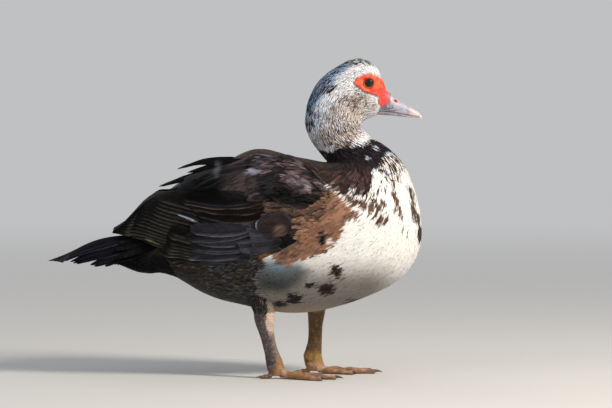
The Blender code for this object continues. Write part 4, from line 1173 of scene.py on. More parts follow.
def make_skin():
    verts, groups = tube(body_skin())
    base = place_object("skin_base", mesh_of("skin_base", verts, groups))
    helpers = []
    for name, (v, g) in (("wing_base_right", wing_base(-1)), ("wing_base_left", wing_base(1)), ("tail_base", tail_base())):
        helpers.append(place_object(name, mesh_of(name, v, g)))
    for side_name in ("right", "left"):
        helpers.append(place_object("leg_help_" + side_name, leg_shape(side_name)))
    for helper in helpers:
        mod = base.modifiers.new("join", "BOOLEAN")
        mod.operation, mod.solver, mod.object = "UNION", "MANIFOLD", helper
    mesh = evaluated(base, "bird_skin")
    for helper in helpers:
        bpy.data.objects.remove(helper)
    points = coords(mesh)
    mesh.polygons.foreach_set("use_smooth", np.ones(len(mesh.polygons), bool))
    x, y = elevation(points)
    legs = ramp(points[:, 2], 0.0815, 0.0795) * np.where(near_leg(points), 1.0, 0.0)
    face = bare_face(points)
    rng = np.random.default_rng(5)
    tint = body_colour(points[:, None], rng, 0.05)[:, 0] * 0.85
    # painted shade: skin under the folded wing is near-black so gaps between feathers read as shadow; towards the tail
    # it matches the black plumage
    hidden = wing_covers(points, 6.0) | (x < 150) & (points[:, 2] > 0.09)
    tint = np.where(hidden[:, None], BLACK * 0.6, tint)
    smooth_white = (ramp(noise(points, 0.004, 61), 0.2, 0.8) * 0.2 + 0.8)[:, None]
    tint = tint * smooth_white
    tint = tint * (1 - legs[:, None]) + leg_tint(points) * legs[:, None]
    tint = tint * (1 - face[:, None]) + face_tint(points) * face[:, None]
    for sign in (-1, 1):
        d = points - EYES[sign]
        r = np.linalg.norm(d, axis=1)
        angle = np.degrees(np.arccos(np.clip((d * eye_axis(sign)).sum(1) / np.maximum(r, 1e-9), -1, 1)))
        ring = (ramp(angle, 50, 45) * (r < 0.0115))[:, None]
        tint = tint * (1 - ring) + np.array([0.88, 0.10, 0.022]) * ring
        edge = (ramp(angle, 45.0, 42.5) * (r < 0.0115))[:, None]
        tint = tint * (1 - edge) + np.array([0.10, 0.012, 0.008]) * edge
    point_attributes(mesh, {"tint": np.clip(tint, 0.003, 1), "legs": legs, "face": face})
    for _ in range(len(mesh.materials)):
        mesh.materials.pop()
    obj = place_object("bird_skin", mesh, skin_material())
    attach(obj, "root")
    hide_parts("head", "neck", "trunk", "thigh_right", "thigh_left", "shank_right", "shank_left", "foot_right", "foot_left")
    print(f"bird_skin: {sum(len(p.vertices) - 2 for p in mesh.polygons)} triangles")
    return obj


make_skin()


# ------------------------------------------------------------------ the coat
RNG = np.random.default_rng(77)


def near_bill(x, y):
    return (x > 379) & (y > 86)


def rung_of(u):
    return u / PER_RUNG


def head_tufts():
    def keep(P, u, v):
        x, y = elevation(P)
        bare = face_depth(P) > -0.35
        return ~((bare & (x > 340)) | near_bill(x, y) & (y < 112)) & (u > 3)

    u, v, P = scatter(SKIN, RNG, lambda P, u, v: 0.00088 + 0.00026 * ramp(rung_of(u), 4, 8.5), keep, 60000, (0, 92))
    x, y = elevation(P)
    nape = ramp(x, 352, 326) * ramp(y, 116, 96)
    away = np.clip(-outline_distance(FACE, x, y), 0, 30)
    length = (0.0040 + 0.0034 * ramp(away, 0, 14)) * (1 + 0.85 * nape) * (0.85 + 0.3 * RNG.random(len(u)))
    half = (0.00044 + 0.00022 * ramp(away, 0, 14)) * (0.85 + 0.3 * RNG.random(len(u))) * (1 + 0.15 * nape)
    yaw = RNG.normal(0, 0.09, len(u))
    # above the eye the tufts lean up from the bare skin, below it down
    yaw = yaw + 0.22 * ramp(away, 6, 0) * np.sign(v - AROUND / 2) * np.where(y < 84, 1, -1)
    deep = coat_depth(rung_of(u))
    found = drape(SKIN, u, v, yaw, length, half, -0.0002, deep * (0.95 + 0.35 * RNG.random(len(u))) + 0.0003, 4, 2, RNG, (0.55, 1.0, 0.85, 0.45, 0.10), 0.0,
                  camber=0.20, thick=0.00018, bend=RNG.normal(0, 0.10, len(u)))
    return shade_vane(found, body_colour(found["flat"], RNG, 0.66, found["w"]), RNG, root_shade=0.15)


def neck_tufts():
    u, v, P = scatter(SKIN, RNG, lambda P, u, v: 0.00125 + 0.00075 * ramp(rung_of(u), 9, 15), lambda P, u, v: u > 0, 60000, (90, 158))
    length = (0.0088 + 0.0050 * ramp(rung_of(u), 9, 15)) * (0.85 + 0.35 * RNG.random(len(u)))
    half = (0.00072 + 0.00070 * ramp(rung_of(u), 10, 15)) * (0.85 + 0.3 * RNG.random(len(u)))
    deep = coat_depth(rung_of(u))
    found = drape(SKIN, u, v, RNG.normal(0, 0.12, len(u)), length, half, -0.0002, deep * (0.95 + 0.22 * RNG.random(len(u))), 4, 2, RNG, (0.5, 1.0, 0.9, 0.55, 0.12), 0.0,
                  camber=0.18, thick=0.00022, bend=RNG.normal(0, 0.14, len(u)))
    return shade_vane(found, body_colour(found["flat"], RNG, 0.64, found["w"]), RNG, root_shade=0.15)


def trunk_feathers():
    def radius(P, u, v):
        return 0.00205 + 0.00155 * ramp(rung_of(u), 15, 25) - 0.0001 * ramp(rung_of(u), 30, 36)

    u, v, P = scatter(SKIN, RNG, radius, lambda P, u, v: ~wing_covers(P, 15.0), 70000, (150, 404))
    r = rung_of(u)
    length = (0.0140 + 0.0085 * ramp(r, 15, 26)) * (0.86 + 0.28 * RNG.random(len(u)))
    half = (0.0017 + 0.0021 * ramp(r, 15, 25)) * (0.85 + 0.3 * RNG.random(len(u)))
    length = length * (1 + 0.30 * ramp(r, 33, 38))
    deep = coat_depth(r)
    found = drape(SKIN, u, v, RNG.normal(0, 0.10, len(u)), length * 1.06, half, deep * 0.40, deep * (0.59 + 0.02 * RNG.random(len(u))), 5, 4, RNG, (0.45, 0.95, 1.0, 0.90, 0.50), 0.30,
                  teeth=0.13, camber=0.02, thick=0.00012, bend=RNG.normal(0, 0.10, len(u)), power=4.6)
    found = shade_vane(found, body_colour(found["flat"], RNG, 0.52, found["w"]), RNG, root_shade=0.06, wobble=0.05)
    return found, u, v


feather_piece("coat_head", [head_tufts()], SOFT, patch=0.004, soften=0.45)
feather_piece("coat_neck", [neck_tufts()], SOFT, patch=0.004, soften=0.45)
trunk, trunk_u, trunk_v = trunk_feathers()
turn = np.minimum(trunk_v, AROUND - trunk_v) / (AROUND / 2)
upper, chest = turn < 0.5, trunk_u < 220
feather_piece("coat_back", [select(trunk, upper)], DOWNY, patch=0.006, soften=0.4)
feather_piece("coat_breast", [select(trunk, ~upper & chest)], DOWNY, patch=0.006, soften=0.85)
feather_piece("coat_belly", [select(trunk, ~upper & ~chest & (trunk_u < 300))], DOWNY, patch=0.006, soften=0.8)
feather_piece("coat_vent", [select(trunk, ~upper & (trunk_u >= 300))], DOWNY, patch=0.006, soften=0.4)


# -------------------------------------------------------------------- wings
def wing_at(x, y):
    """The wing grid's u and v at places of the side elevation."""
    rows = np.linspace(0, len(WING) - 1, (len(WING) - 1) * 12 + 1)
    table = curve(WING, rows)
    x, y = np.asarray(x, float), np.asarray(y, float)
    u = np.interp(-x, -table[:, 0], np.arange(len(rows)))
    u = np.where(x < table[-1, 0], len(rows) - 1 + (table[-1, 0] - x) / (table[-2, 0] - table[-1, 0]), u)
    u = np.where(x > table[0, 0], (table[0, 0] - x) / (table[0, 0] - table[1, 0]), u)
    at = lambda k: np.interp(u, np.arange(len(rows)), table[:, k])
    sine = (at(1) - y) / at(2)
    a = np.degrees(np.arcsin(np.clip(sine, -0.995, 0.995))) + np.where(sine > 0.995, (sine - 0.995) * 90, 0)
    return u, (at(4) - a) / (at(4) - at(5)) * 71


def laid(sign, inset, roots, tips, half, lift, rise, rows, cols, sag=0.0, **shape):
    """Wing feathers from roots to tips, both places of the side elevation, on the wing's form."""
    surface = wing_surface(sign, inset)
    roots, tips = np.asarray(roots, float), np.asarray(tips, float)
    s = np.linspace(0, 1, rows + 1)[None, :]
    x = roots[:, :1] + (tips[:, :1] - roots[:, :1]) * s
    y = roots[:, 1:] + (tips[:, 1:] - roots[:, 1:]) * s + np.reshape(np.broadcast_to(sag, len(roots)), (-1, 1)) * 4 * s * (1 - s)
    path = wing_at(x, y)
    n = len(roots)
    return drape(surface, path[0][:, 0], path[1][:, 0], 0.0, 1.0, np.broadcast_to(half, n), np.broadcast_to(lift, n), np.broadcast_to(rise, n), rows, cols,
                 RNG, path=path, **shape)


LONG = (0.35, 0.72, 0.92, 1.0, 1.0, 0.98, 0.92)
PLUM, SLATE, OLIVE, COAL = np.array([0.036, 0.026, 0.028]), np.array([0.016, 0.017, 0.022]), np.array([0.015, 0.0135, 0.011]), np.array([0.0050, 0.0048, 0.0058])
HOLLOW = [(262, 188), (268, 180), (280, 184), (294, 191), (308, 194), (318, 197), (312, 204), (300, 206), (284, 202), (268, 197)]
CREASE = [(262, 190), (269, 196), (285, 201), (300, 205), (310, 204), (322, 198), (334, 189)]


def jitter(colour, n, amount=0.2):
    return np.asarray(colour) * (1 + amount * (RNG.random((n, 1)) * 2 - 1)) * (1 + 0.06 * (RNG.random((n, 3)) * 2 - 1))


def between(a, b, t):
    a, b, t = np.asarray(a, float), np.asarray(b, float), np.asarray(t, float)[:, None]
    return a + (b - a) * t


def crest(sign):
    """A sloping sheet along the top of the folded wing, for the feathers whose tips stand clear of it."""
    x = np.arange(300.0, 128.0, -2.0)[:, None]
    y = np.arange(140.0, 242.0, 2.0)[None, :]
    top = np.interp(-x, [-240, -200, -177, -158, -144], [153, 160, 170, 188, 204])
    base = np.interp(-x, [-240, -200, -177, -144], [24, 11, 6, 4])
    lateral = np.maximum(base * 0.5, base + 0.95 * (y - top))
    lateral = np.minimum(lateral, 0.0 * x + 60)
    points = side(x + 0 * y, y + 0 * x, sign * lateral * GRID)
    return Surface(points, False, np.array([0, sign, 0.9]))


def along(points, rows):
    """Rows + 1 places evenly along a smooth line through the points."""
    table = curve(points, np.linspace(0, len(points) - 1, 40))
    run = np.concatenate([[0], np.hypot(*np.diff(table, axis=0).T).cumsum()])
    t = np.linspace(0, run[-1], rows + 1)
    return np.stack([np.interp(t, run, table[:, 0]), np.interp(t, run, table[:, 1])], -1)


def swept(sign, inset, lines, half, lift, rise, rows, cols, **shape):
    """Wing feathers along smooth lines drawn on the side elevation."""
    places = np.array([along(line, rows) for line in lines])
    path = wing_at(places[..., 0], places[..., 1])
    n = len(lines)
    return drape(wing_surface(sign, inset), path[0][:, 0], path[1][:, 0], 0.0, 1.0, np.broadcast_to(half, n), np.broadcast_to(lift, n), np.broadcast_to(rise, n), rows, cols,
                 RNG, path=path, **shape)


def margin(g, outward, strength, covered=-9.0):
    """Marks the vane's free side, where the material paints a pale highlight along its edge, and how far the next
    feather covers it, where the material paints its shade.
    """
    free = g["w"] * np.reshape(outward, (-1, 1))
    strength = np.reshape(strength, (-1, 1)) * ramp(g["s"], 0.05, 0.25) * (0.7 + 0.6 * RNG.random((g["n"], 1)))
    g["margin"] = np.stack(np.broadcast_arrays(free, covered, strength), -1)
    return g


# places where light lies on the wing's glossy plumage: centre, half sizes, slope, colour, strength
GLEAMS = [(253, 174, 6.0, 3.0, 0.0, (0.36, 0.38, 0.52), 0.85), (219, 171, 3.2, 9.0, 0.0, (0.16, 0.16, 0.18), 0.7), (261, 155.5, 14.0, 2.0, 0.26, (0.14, 0.20, 0.33), 0.85),
          (298, 182, 9.0, 3.4, 0.1, (0.13, 0.105, 0.135), 0.6), (307, 187, 3.0, 3.0, 0.0, (0.30, 0.28, 0.31), 0.7), (291.5, 214, 2.4, 4.5, 0.0, (0.045, 0.060, 0.085), 0.8),
          (326, 186, 6.0, 6.0, 0.4, (0.13, 0.10, 0.11), 0.5), (240, 184, 16.0, 16.0, 0.0, (0.080, 0.060, 0.060), 0.45), (259, 170, 8.0, 5.0, 0.0, (0.080, 0.066, 0.080), 0.5),
          (213, 241, 6.0, 5.0, 0.6, (0.042, 0.044, 0.060), 0.7), (197, 253, 5.0, 2.2, -0.4, (0.22, 0.27, 0.32), 0.8), 
          (154, 239.5, 7.0, 0.9, 0.42, (0.17, 0.18, 0.10), 0.8), (228, 259.5, 22.0, 1.3, -0.05, (0.045, 0.050, 0.068), 0.8), (180, 199, 14.0, 5.0, 0.2, (0.022, 0.017, 0.012), 0.6),
          (292, 206, 14.0, 3.0, 0.1, (0.10, 0.070, 0.055), 0.6), (268, 203, 10.0, 4.0, 0.2, (0.060, 0.042, 0.034), 0.6)]


def gleam(g):
    x, y = elevation(g["flat"])
    streaks = RNG.random((g["n"], 9))[np.arange(g["n"])[:, None], np.clip(np.round((g["w"] + 1) * 4), 0, 8).astype(int)]
    for cx, cy, rx, ry, slope, colour, strength in GLEAMS:
        r = np.hypot((x - cx) / rx, (y - cy - slope * (x - cx)) / ry)
        share = (ramp(r, 1.4, 0.4) * strength * (0.35 + 0.65 * streaks))[..., None]
        g["tint"] = g["tint"] * (1 - share) + np.array(colour) * share
    return g


def wing_feathers(sign):
    large, small = [], []
    # primaries, folded under the others, their tips just past the secondaries
    free = -sign
    t = np.linspace(0, 1, 5)
    g = laid(sign, 0.0052, between((214, 250), (222, 240), t), between((109.5, 232.6), (121, 229), t), 0.0074, 0.0002 + 0.0003 * t, 0.0008, 26, 8, 1.0,
             grow=LONG, round_tip=0.10, tip_width=0.30, thick=0.0006, camber=0.10)
    large.append(margin(shade_vane(g, jitter(COAL * 1.2, 5), RNG, shaft=0.3, root_shade=0.1), free, 0.5))
    # inner secondaries and tertials: a fan of long arched edges that meet at the wing's point
    n = 14
    lines = [[between((218, 263), (236, 229), [t])[0], between((188, 248.5), (200, 214.5), [t])[0], between((162, 240.5), (174, 208), [t])[0],
              between((136, 233.5), (154, 206.5), [t])[0], between((120, 231.6), (141, 211.5), [t])[0], between((110.5, 232.2), (131, 218.5), [t])[0]] for t in np.linspace(0, 1.32, n)]
    g = swept(sign, 0.0052, lines, np.interp(np.arange(n), [0, n - 1], [0.0082, 0.0088]), 0.0012 + 0.00066 * np.arange(n), 0.0010, 34, 12,
              grow=LONG, round_tip=0.10, tip_width=0.40, thick=0.0007, camber=0.10)
    g = shade_vane(g, jitter(OLIVE * 0.92, n, 0.25), RNG, shaft=0.25, root_shade=0.0)
    large.append(margin(g, free, 0.52, 0.50))
    # outer secondaries: a block of level edges over the fan's roots
    n = 9
    t = np.linspace(0, 1, n)
    g = laid(sign, 0.0044, between((244, 262), (246, 240), t), between((160.5, 257.5), (173.5, 228), t) + RNG.normal(0, 0.8, (n, 2)), 0.0070, 0.0040 + 0.0006 * np.arange(n), 0.0012,
             24, 10, 0.6, grow=LONG, round_tip=0.09, tip_width=0.8, thick=0.0007, camber=0.05)
    g = shade_vane(g, jitter(OLIVE * 1.35, n, 0.35), RNG, shaft=0.25, root_shade=0.0)
    large.append(margin(g, free, 0.72, 0.36))
    # greater coverts: long slate feathers over the secondaries' roots
    n = 10
    t = np.linspace(0, 1, n)
    g = laid(sign, 0.0034, between((272, 253), (252, 224), t) + RNG.normal(0, 0.5, (n, 2)), between((200, 259.5), (190, 226), t) + RNG.normal(0, 2.4, (n, 2)),
             0.0074, 0.0040 + 0.00055 * np.arange(n), 0.0016, 20, 10, np.interp(t, [0, 1], [3.2, 1.0]), grow=LONG, round_tip=0.12, tip_width=0.9, thick=0.0006, camber=0.05)
    g = shade_vane(g, jitter(SLATE * 2.0 + PLUM * 0.2, n, 0.55), RNG, shaft=0.2, root_shade=0.1)
    large.append(margin(g, free, np.where(np.arange(n) < 1, 1.1, 0.20), 0.40))
    # dark inner coverts in the hollow under the scapulars
    n = 12
    t = np.linspace(0, 1, n)
    g = laid(sign, 0.0032, between((270, 232), (262, 196), t), between((212, 222), (184, 198), t) + RNG.normal(0, 1.2, (n, 2)), 0.0090,
             0.0040 + 0.00024 * np.arange(n), 0.0042, 22, 10, 1.0, grow=LONG, round_tip=0.10, tip_width=0.60, thick=0.0006, camber=0.03)
    tone = jitter(COAL * 1.2, n, 0.35) + (RNG.random((n, 1)) < 0.4) * np.array([0.007, 0.004, 0.002])
    g = shade_vane(g, tone, RNG, shaft=0.2, root_shade=0.1)
    large.append(margin(g, free, 0.75, 0.45))
    # one feather end over the fan, with a painted pale-blue reflection along it
    g = swept(sign, 0.0032, [[(216, 225), (203, 220.4), (192, 216.4), (182, 213.4)]], 0.0011, 0.0080, 0.0012, 14, 6, grow=(0.3, 0.6, 0.9, 1.0, 0.7), round_tip=0.10, thick=0.0005,
              camber=0.05)
    g = shade_vane(g, np.array([[0.030, 0.030, 0.032]]), RNG, root_shade=0.2)
    # painted reflection: a pale blue streak across the vane
    pale = (ramp(g["s"], 0.42, 0.60) * (0.55 + 0.45 * RNG.random(g["s"].shape)))[..., None]
    g["tint"] = g["tint"] * (1 - pale) + np.array([0.29, 0.36, 0.44]) * pale
    large.append(g)
    # median coverts
    n = 20
    a, b = np.repeat(np.arange(10), 2), np.tile([0, 1], 10)
    tips = np.stack([238 + 12 * b + RNG.normal(0, 1.5, n), 254 - a * 3.4 - 1.7 * b + RNG.normal(0, 0.8, n)], 1)
    g = laid(sign, 0.0028, tips + np.stack([np.full(n, 30.0), np.full(n, -1.5)], 1), tips, 0.0066, 0.0052 + 0.0008 * b + 0.00012 * a, 0.0018, 10, 8, 0.6,
             grow=LONG, round_tip=0.42, thick=0.0005, camber=0.18, teeth=0.05)
    large.append(shade_vane(g, jitter(SLATE * 2.1 + PLUM * 0.3, n, 0.6), RNG, edge=(0.055, 0.052, 0.064), edge_from=0.90, shaft=0.15, root_shade=0.6))
    # small coverts of the forearm and shoulder, under the crease
    surface = wing_surface(sign, 0.0034)
    crease_x, crease_y = np.array(CREASE).T

    def below(P, u, v):
        x, y = elevation(P)
        return (x > 252) & (x < 338) & (y > np.interp(x, crease_x, crease_y) - 3) & (y < 264)

    u, v, P = scatter(surface, RNG, lambda P, u, v: 0.0035 - 0.0008 * ramp(elevation(P)[0], 286, 312), below, 14000)
    x, y = elevation(P)
    fore = ramp(x, 262, 312)
    g = drape(surface, u, v, RNG.normal(0.0, 0.16, len(u)), (0.0190 - 0.0030 * fore) * (0.85 + 0.3 * RNG.random(len(u))), 0.0042 - 0.0019 * fore,
              0.0010 + 0.0030 * ramp(x, 335, 275), 0.0022 + 0.0002 * RNG.random(len(u)), 5, 6, RNG, (0.4, 0.9, 1.0, 0.95, 0.65), 0.42, teeth=0.26,
              camber=0.10, thick=0.00030, bend=RNG.normal(0, 0.14, len(u)), power=2.4)
    P = g["seen"]
    x, y = elevation(P)
    pick = RNG.random(g["n"]) * 0.5 + noise(P, 0.010, 8) * 0.5
    colour = jitter(PLUM * 0.95, g["n"], 0.4)
    colour = np.where((pick < 0.45)[:, None], jitter(COAL * 2.2, g["n"], 0.3), colour)
    warm = in_area(SHOULDER, x, y, 7) * ramp(x, 286, 304)
    rusty = pick < warm * 1.05
    colour = np.where(rusty[:, None], jitter(RUST, g["n"], 0.30) * (0.70 + 0.50 * ramp(y, 204, 226))[:, None], colour)
    band = in_area([(262, 198), (285, 202), (306, 207), (322, 203), (330, 214), (306, 216), (284, 212), (262, 208)], x, y, 3)
    colour = np.where((pick < band * 0.9)[:, None], jitter(BROWN * 1.3, g["n"], 0.3), colour)
    # painted shadow: coverts in a gap near the wrist are made coal-black
    gap_shadow = in_area([(274, 234), (286, 230), (296, 236), (296, 250), (286, 256), (276, 252)], x, y, 3)
    colour = np.where((pick < gap_shadow)[:, None], jitter(COAL * 1.4, g["n"], 0.3), colour)
    rust_tip = in_area([(256, 246), (272, 244), (275, 252), (268, 258), (256, 256)], x, y, 2)
    colour = np.where((pick < rust_tip)[:, None], jitter((0.17, 0.080, 0.035), g["n"], 0.3), colour)
    g = shade_vane(g, colour, RNG, root_shade=0.45)
    lanes = RNG.random((g["n"], 9))[np.arange(g["n"])[:, None], np.clip(np.round((g["w"] + 1) * 4), 0, 8).astype(int)]
    g["tint"] = g["tint"] * (0.70 + 0.60 * lanes)[..., None]
    small.append(g)
    # those of the shoulder's upper part, over the crease
    def above(P, u, v):
        x, y = elevation(P)
        return (x > 262) & (x < 336) & (y < np.interp(x, crease_x, crease_y) - 1)

    surface = wing_surface(sign, 0.0022)
    u, v, P = scatter(surface, RNG, lambda P, u, v: 0.0042, above, 12000)
    x, y = elevation(P)
    g = drape(surface, u, v, -sign * 0.30 * ramp(x, 320, 280) + RNG.normal(0.0, 0.20, len(u)), (0.0240 - 0.0060 * ramp(x, 280, 325)) * (0.85 + 0.3 * RNG.random(len(u))),
              0.0050 - 0.0014 * ramp(x, 280, 325), 0.0010 + 0.0034 * ramp(x, 335, 290) * ramp(y, 152, 166), 0.0024 + 0.0006 * RNG.random(len(u)), 7, 6, RNG,
              (0.4, 0.9, 1.0, 0.95, 0.70), 0.42, teeth=0.26, camber=0.20, thick=0.0004, bend=RNG.normal(0, 0.18, len(u)))
    P = g["seen"]
    x, y = elevation(P)
    pick = RNG.random(g["n"]) * 0.6 + noise(P, 0.012, 18) * 0.4
    colour = jitter(PLUM * 1.05, g["n"], 0.5)
    colour = np.where((pick < 0.40)[:, None], jitter(COAL * 1.8, g["n"], 0.3), colour)
    colour = np.where((pick > 0.70)[:, None], jitter((0.085, 0.062, 0.068), g["n"], 0.3), colour)
    colour = np.where((RNG.random(g["n"]) < ramp(x, 308, 326))[:, None], jitter((0.050, 0.033, 0.026), g["n"], 0.45), colour)
    g = shade_vane(g, colour, RNG, root_shade=0.5)
    lanes = RNG.random((g["n"], 9))[np.arange(g["n"])[:, None], np.clip(np.round((g["w"] + 1) * 4), 0, 8).astype(int)]
    g["tint"] = g["tint"] * (0.55 + 0.90 * lanes)[..., None]
    fx, fy = elevation(g["flat"])
    shade = in_area(HOLLOW, fx, fy, 3.5)[..., None]
    g = gleam(g)
    g["tint"] = g["tint"] * (1 - 0.88 * shade)
    small.append(g)
    # long scapulars lying back over the wing
    lines, half, lift = [], [], []
    for i, rx in enumerate((288, 278, 268, 258, 248, 238, 230)):
        long = (32, 36, 42, 46, 48, 46, 40)[i]
        low = (196, 197, 200, 204, 206, 207, 207)[i]
        high = (155, 154, 155, 157, 161, 166, 172)[i]
        count = int(round((low - high) / 7.0)) + 1
        for j in range(count):
            t = (j + 0.5 * (i % 2)) / count
            ry = high + (low - high) * t
            ridge = np.interp(rx, [230, 240, 262, 285], [158, 154, 151.5, 153])
            clear = float(ramp(ry - ridge, 6, 20))
            long_j = long * (1 + RNG.normal(0, 0.07))
            drop = (0.10 + 0.34 * clear * (1 - t) + RNG.normal(0, 0.05)) * long_j
            tx, ty = rx - long_j, ry + drop
            top = np.interp(tx, [150, 170, 190, 210, 240], [203, 193, 176, 166, 158])
            ty = max(ty, top + 5)
            lines.append([(rx + RNG.normal(0, 1), ry), (rx - long_j * 0.5, ry + (ty - ry) * 0.36 - 0.5), (tx, ty)])
            half.append((0.0070, 0.0074, 0.0080, 0.0084, 0.0086, 0.0084, 0.0080)[i])
            lift.append(0.0006 + (0.0046 + 0.0010 * (1 - t) - 0.0002 * i) * clear)
    n = len(lines)
    g = swept(sign, 0.0026, lines, half, lift, 0.0024, 18, 12, grow=(0.35, 0.72, 0.92, 1.0, 1.0, 0.90, 0.62), round_tip=0.34, tip_width=0.92, thick=0.0005, camber=0.26, teeth=0.20)
    x, y = elevation(g["tip"])
    colour = jitter(PLUM * 0.92, n, 0.45)
    colour = np.where((RNG.random(n) < 0.25)[:, None], jitter((0.044, 0.033, 0.038), n, 0.25), colour)
    colour = np.where((RNG.random(n) < 0.25)[:, None], jitter(COAL * 2.2, n, 0.3), colour)
    black = (RNG.random(n) < ramp(x, 224, 206) * 1.1) | (y < 163)
    colour = np.where(black[:, None], jitter(COAL * 0.55, n, 0.25), colour)
    g = shade_vane(g, colour, RNG, shaft=0.18, root_shade=0.5)
    lanes = RNG.random((g["n"], 9))[np.arange(g["n"])[:, None], np.clip(np.round((g["w"] + 1) * 4), 0, 8).astype(int)]
    g["tint"] = g["tint"] * (0.60 + 0.80 * lanes)[..., None]
    # painted sheen and shade: each scapular is lighter on its upper half and darker on its lower, free half
    low_side = ramp(g["w"] * free, -0.4, 0.9)[..., None]
    g["tint"] = g["tint"] * (1.20 - 0.55 * low_side)
    large.append(margin(g, free, 0.35 * ~black))
    # black feathers between the scapulars and the standing tips
    t = np.linspace(0, 1, 6)
    g = laid(sign, 0.0046, between((238, 196), (234, 164), t), between((166, 200), (184, 177), t), 0.0090, 0.0010 + 0.0003 * np.arange(6), 0.0006, 20, 8, 0.0,
             grow=LONG, round_tip=0.10, tip_width=0.7, thick=0.0005, camber=0.05)
    large.append(margin(shade_vane(g, jitter(COAL * 0.6, 6, 0.2), RNG, root_shade=0.0), free, 0.25))
    # the long tips that stand out at the back, with those under them
    lines = [[(252, 163), (224, 162), (200, 163.6), (177, 170.4)], [(250, 172), (222, 168), (204, 169), (186, 173.5)],
             [(246, 180), (216, 175), (187, 179), (158, 187.8)], [(244, 189), (214, 183), (188, 186), (163.5, 192.5)],
             [(240, 199), (206, 191), (173, 193.5), (144.8, 203)], [(238, 206), (206, 199), (178, 199), (154, 204.5)]]
    sheet = crest(sign)
    paths = np.array([along(line, 22) for line in lines])
    path = ((300 - paths[..., 0]) / 2, (paths[..., 1] - 140) / 2)
    g = drape(sheet, path[0][:, 0], path[1][:, 0], 0.0, 1.0, np.array([0.0062, 0.0066, 0.0080, 0.0084, 0.0070, 0.0080]), np.array([0.0016, 0.0006, 0.0012, 0.0003, 0.0010, 0.0]),
              0.0006, 22, 10, RNG, (0.5, 0.9, 1.0, 1.0, 0.85, 0.62, 0.34), 0.10, camber=0.06, thick=0.0006, tip_width=0.75, teeth=0.07, path=path)
    g = shade_vane(g, np.vstack([jitter(COAL * 0.5, 4, 0.2), jitter(OLIVE * 0.7, 2, 0.2)]), RNG, shaft=0.2, root_shade=0.0)
    large.append(margin(g, free, 0.3))
    # one broad rounded covert and a rust one at the wrist
    g = laid(sign, 0.0024, [(291, 220), (275, 250)], [(256.5, 221), (258.5, 251)], (0.0142, 0.0062), (0.0078, 0.0060), (0.0030, 0.0022), 18, 14, (0.5, 0.4),
             grow=(0.45, 0.9, 1.0, 1.0, 0.96), round_tip=0.46, thick=0.0006, camber=0.24)
    g = shade_vane(g, np.array([[0.021, 0.016, 0.016], [0.15, 0.070, 0.028]]), RNG, shaft=0.1, root_shade=0.2)
    fx, fy = elevation(g["flat"])
    # painted highlight: the broad covert is brightened on its lower right, the side facing the light
    glow = ramp(np.hypot((fx - 280) / 7.5, (fy - 226.5) / 7.5), 1.25, 0.3)[..., None] * np.array([1.0, 0.0])[:, None, None]
    g["tint"] = g["tint"] * (1 + np.array([4.4, 3.6, 2.9]) * glow)
    # painted reflection: a pale blue rim along the broad covert's tip
    rim = (ramp(g["s"], 0.955, 0.985) * np.array([1.0, 0.0])[:, None])[..., None]
    g["tint"] = g["tint"] * (1 - rim) + np.array([0.13, 0.19, 0.25]) * rim
    large.append(g)
    name = "right" if sign < 0 else "left"
    for group in large:
        gleam(group)
    for group in large + small:
        x, y = elevation(group["root"])
        group["place"] = np.stack([x, y], 1)
    feather_piece("wing_feathers_" + name, large, FLIGHT, ("wing_" + name,), patch=0.02)
    feather_piece("wing_coverts_" + name, small, GLOSSY, patch=0.012)


wing_feathers(-1)
wing_feathers(1)


# --------------------------------------------------------------------- tail
def tail_at(x, w):
    rows = np.linspace(0, len(TAIL) - 1, (len(TAIL) - 1) * 10 + 1)
    table = curve(TAIL, rows)
    u = np.interp(-x, -table[:, 0], np.arange(len(rows)))
    u = np.where(x < table[-1, 0], len(rows) - 1 + (table[-1, 0] - x) / (table[-2, 0] - table[-1, 0]), u)
    return u, 30 + 30 * w


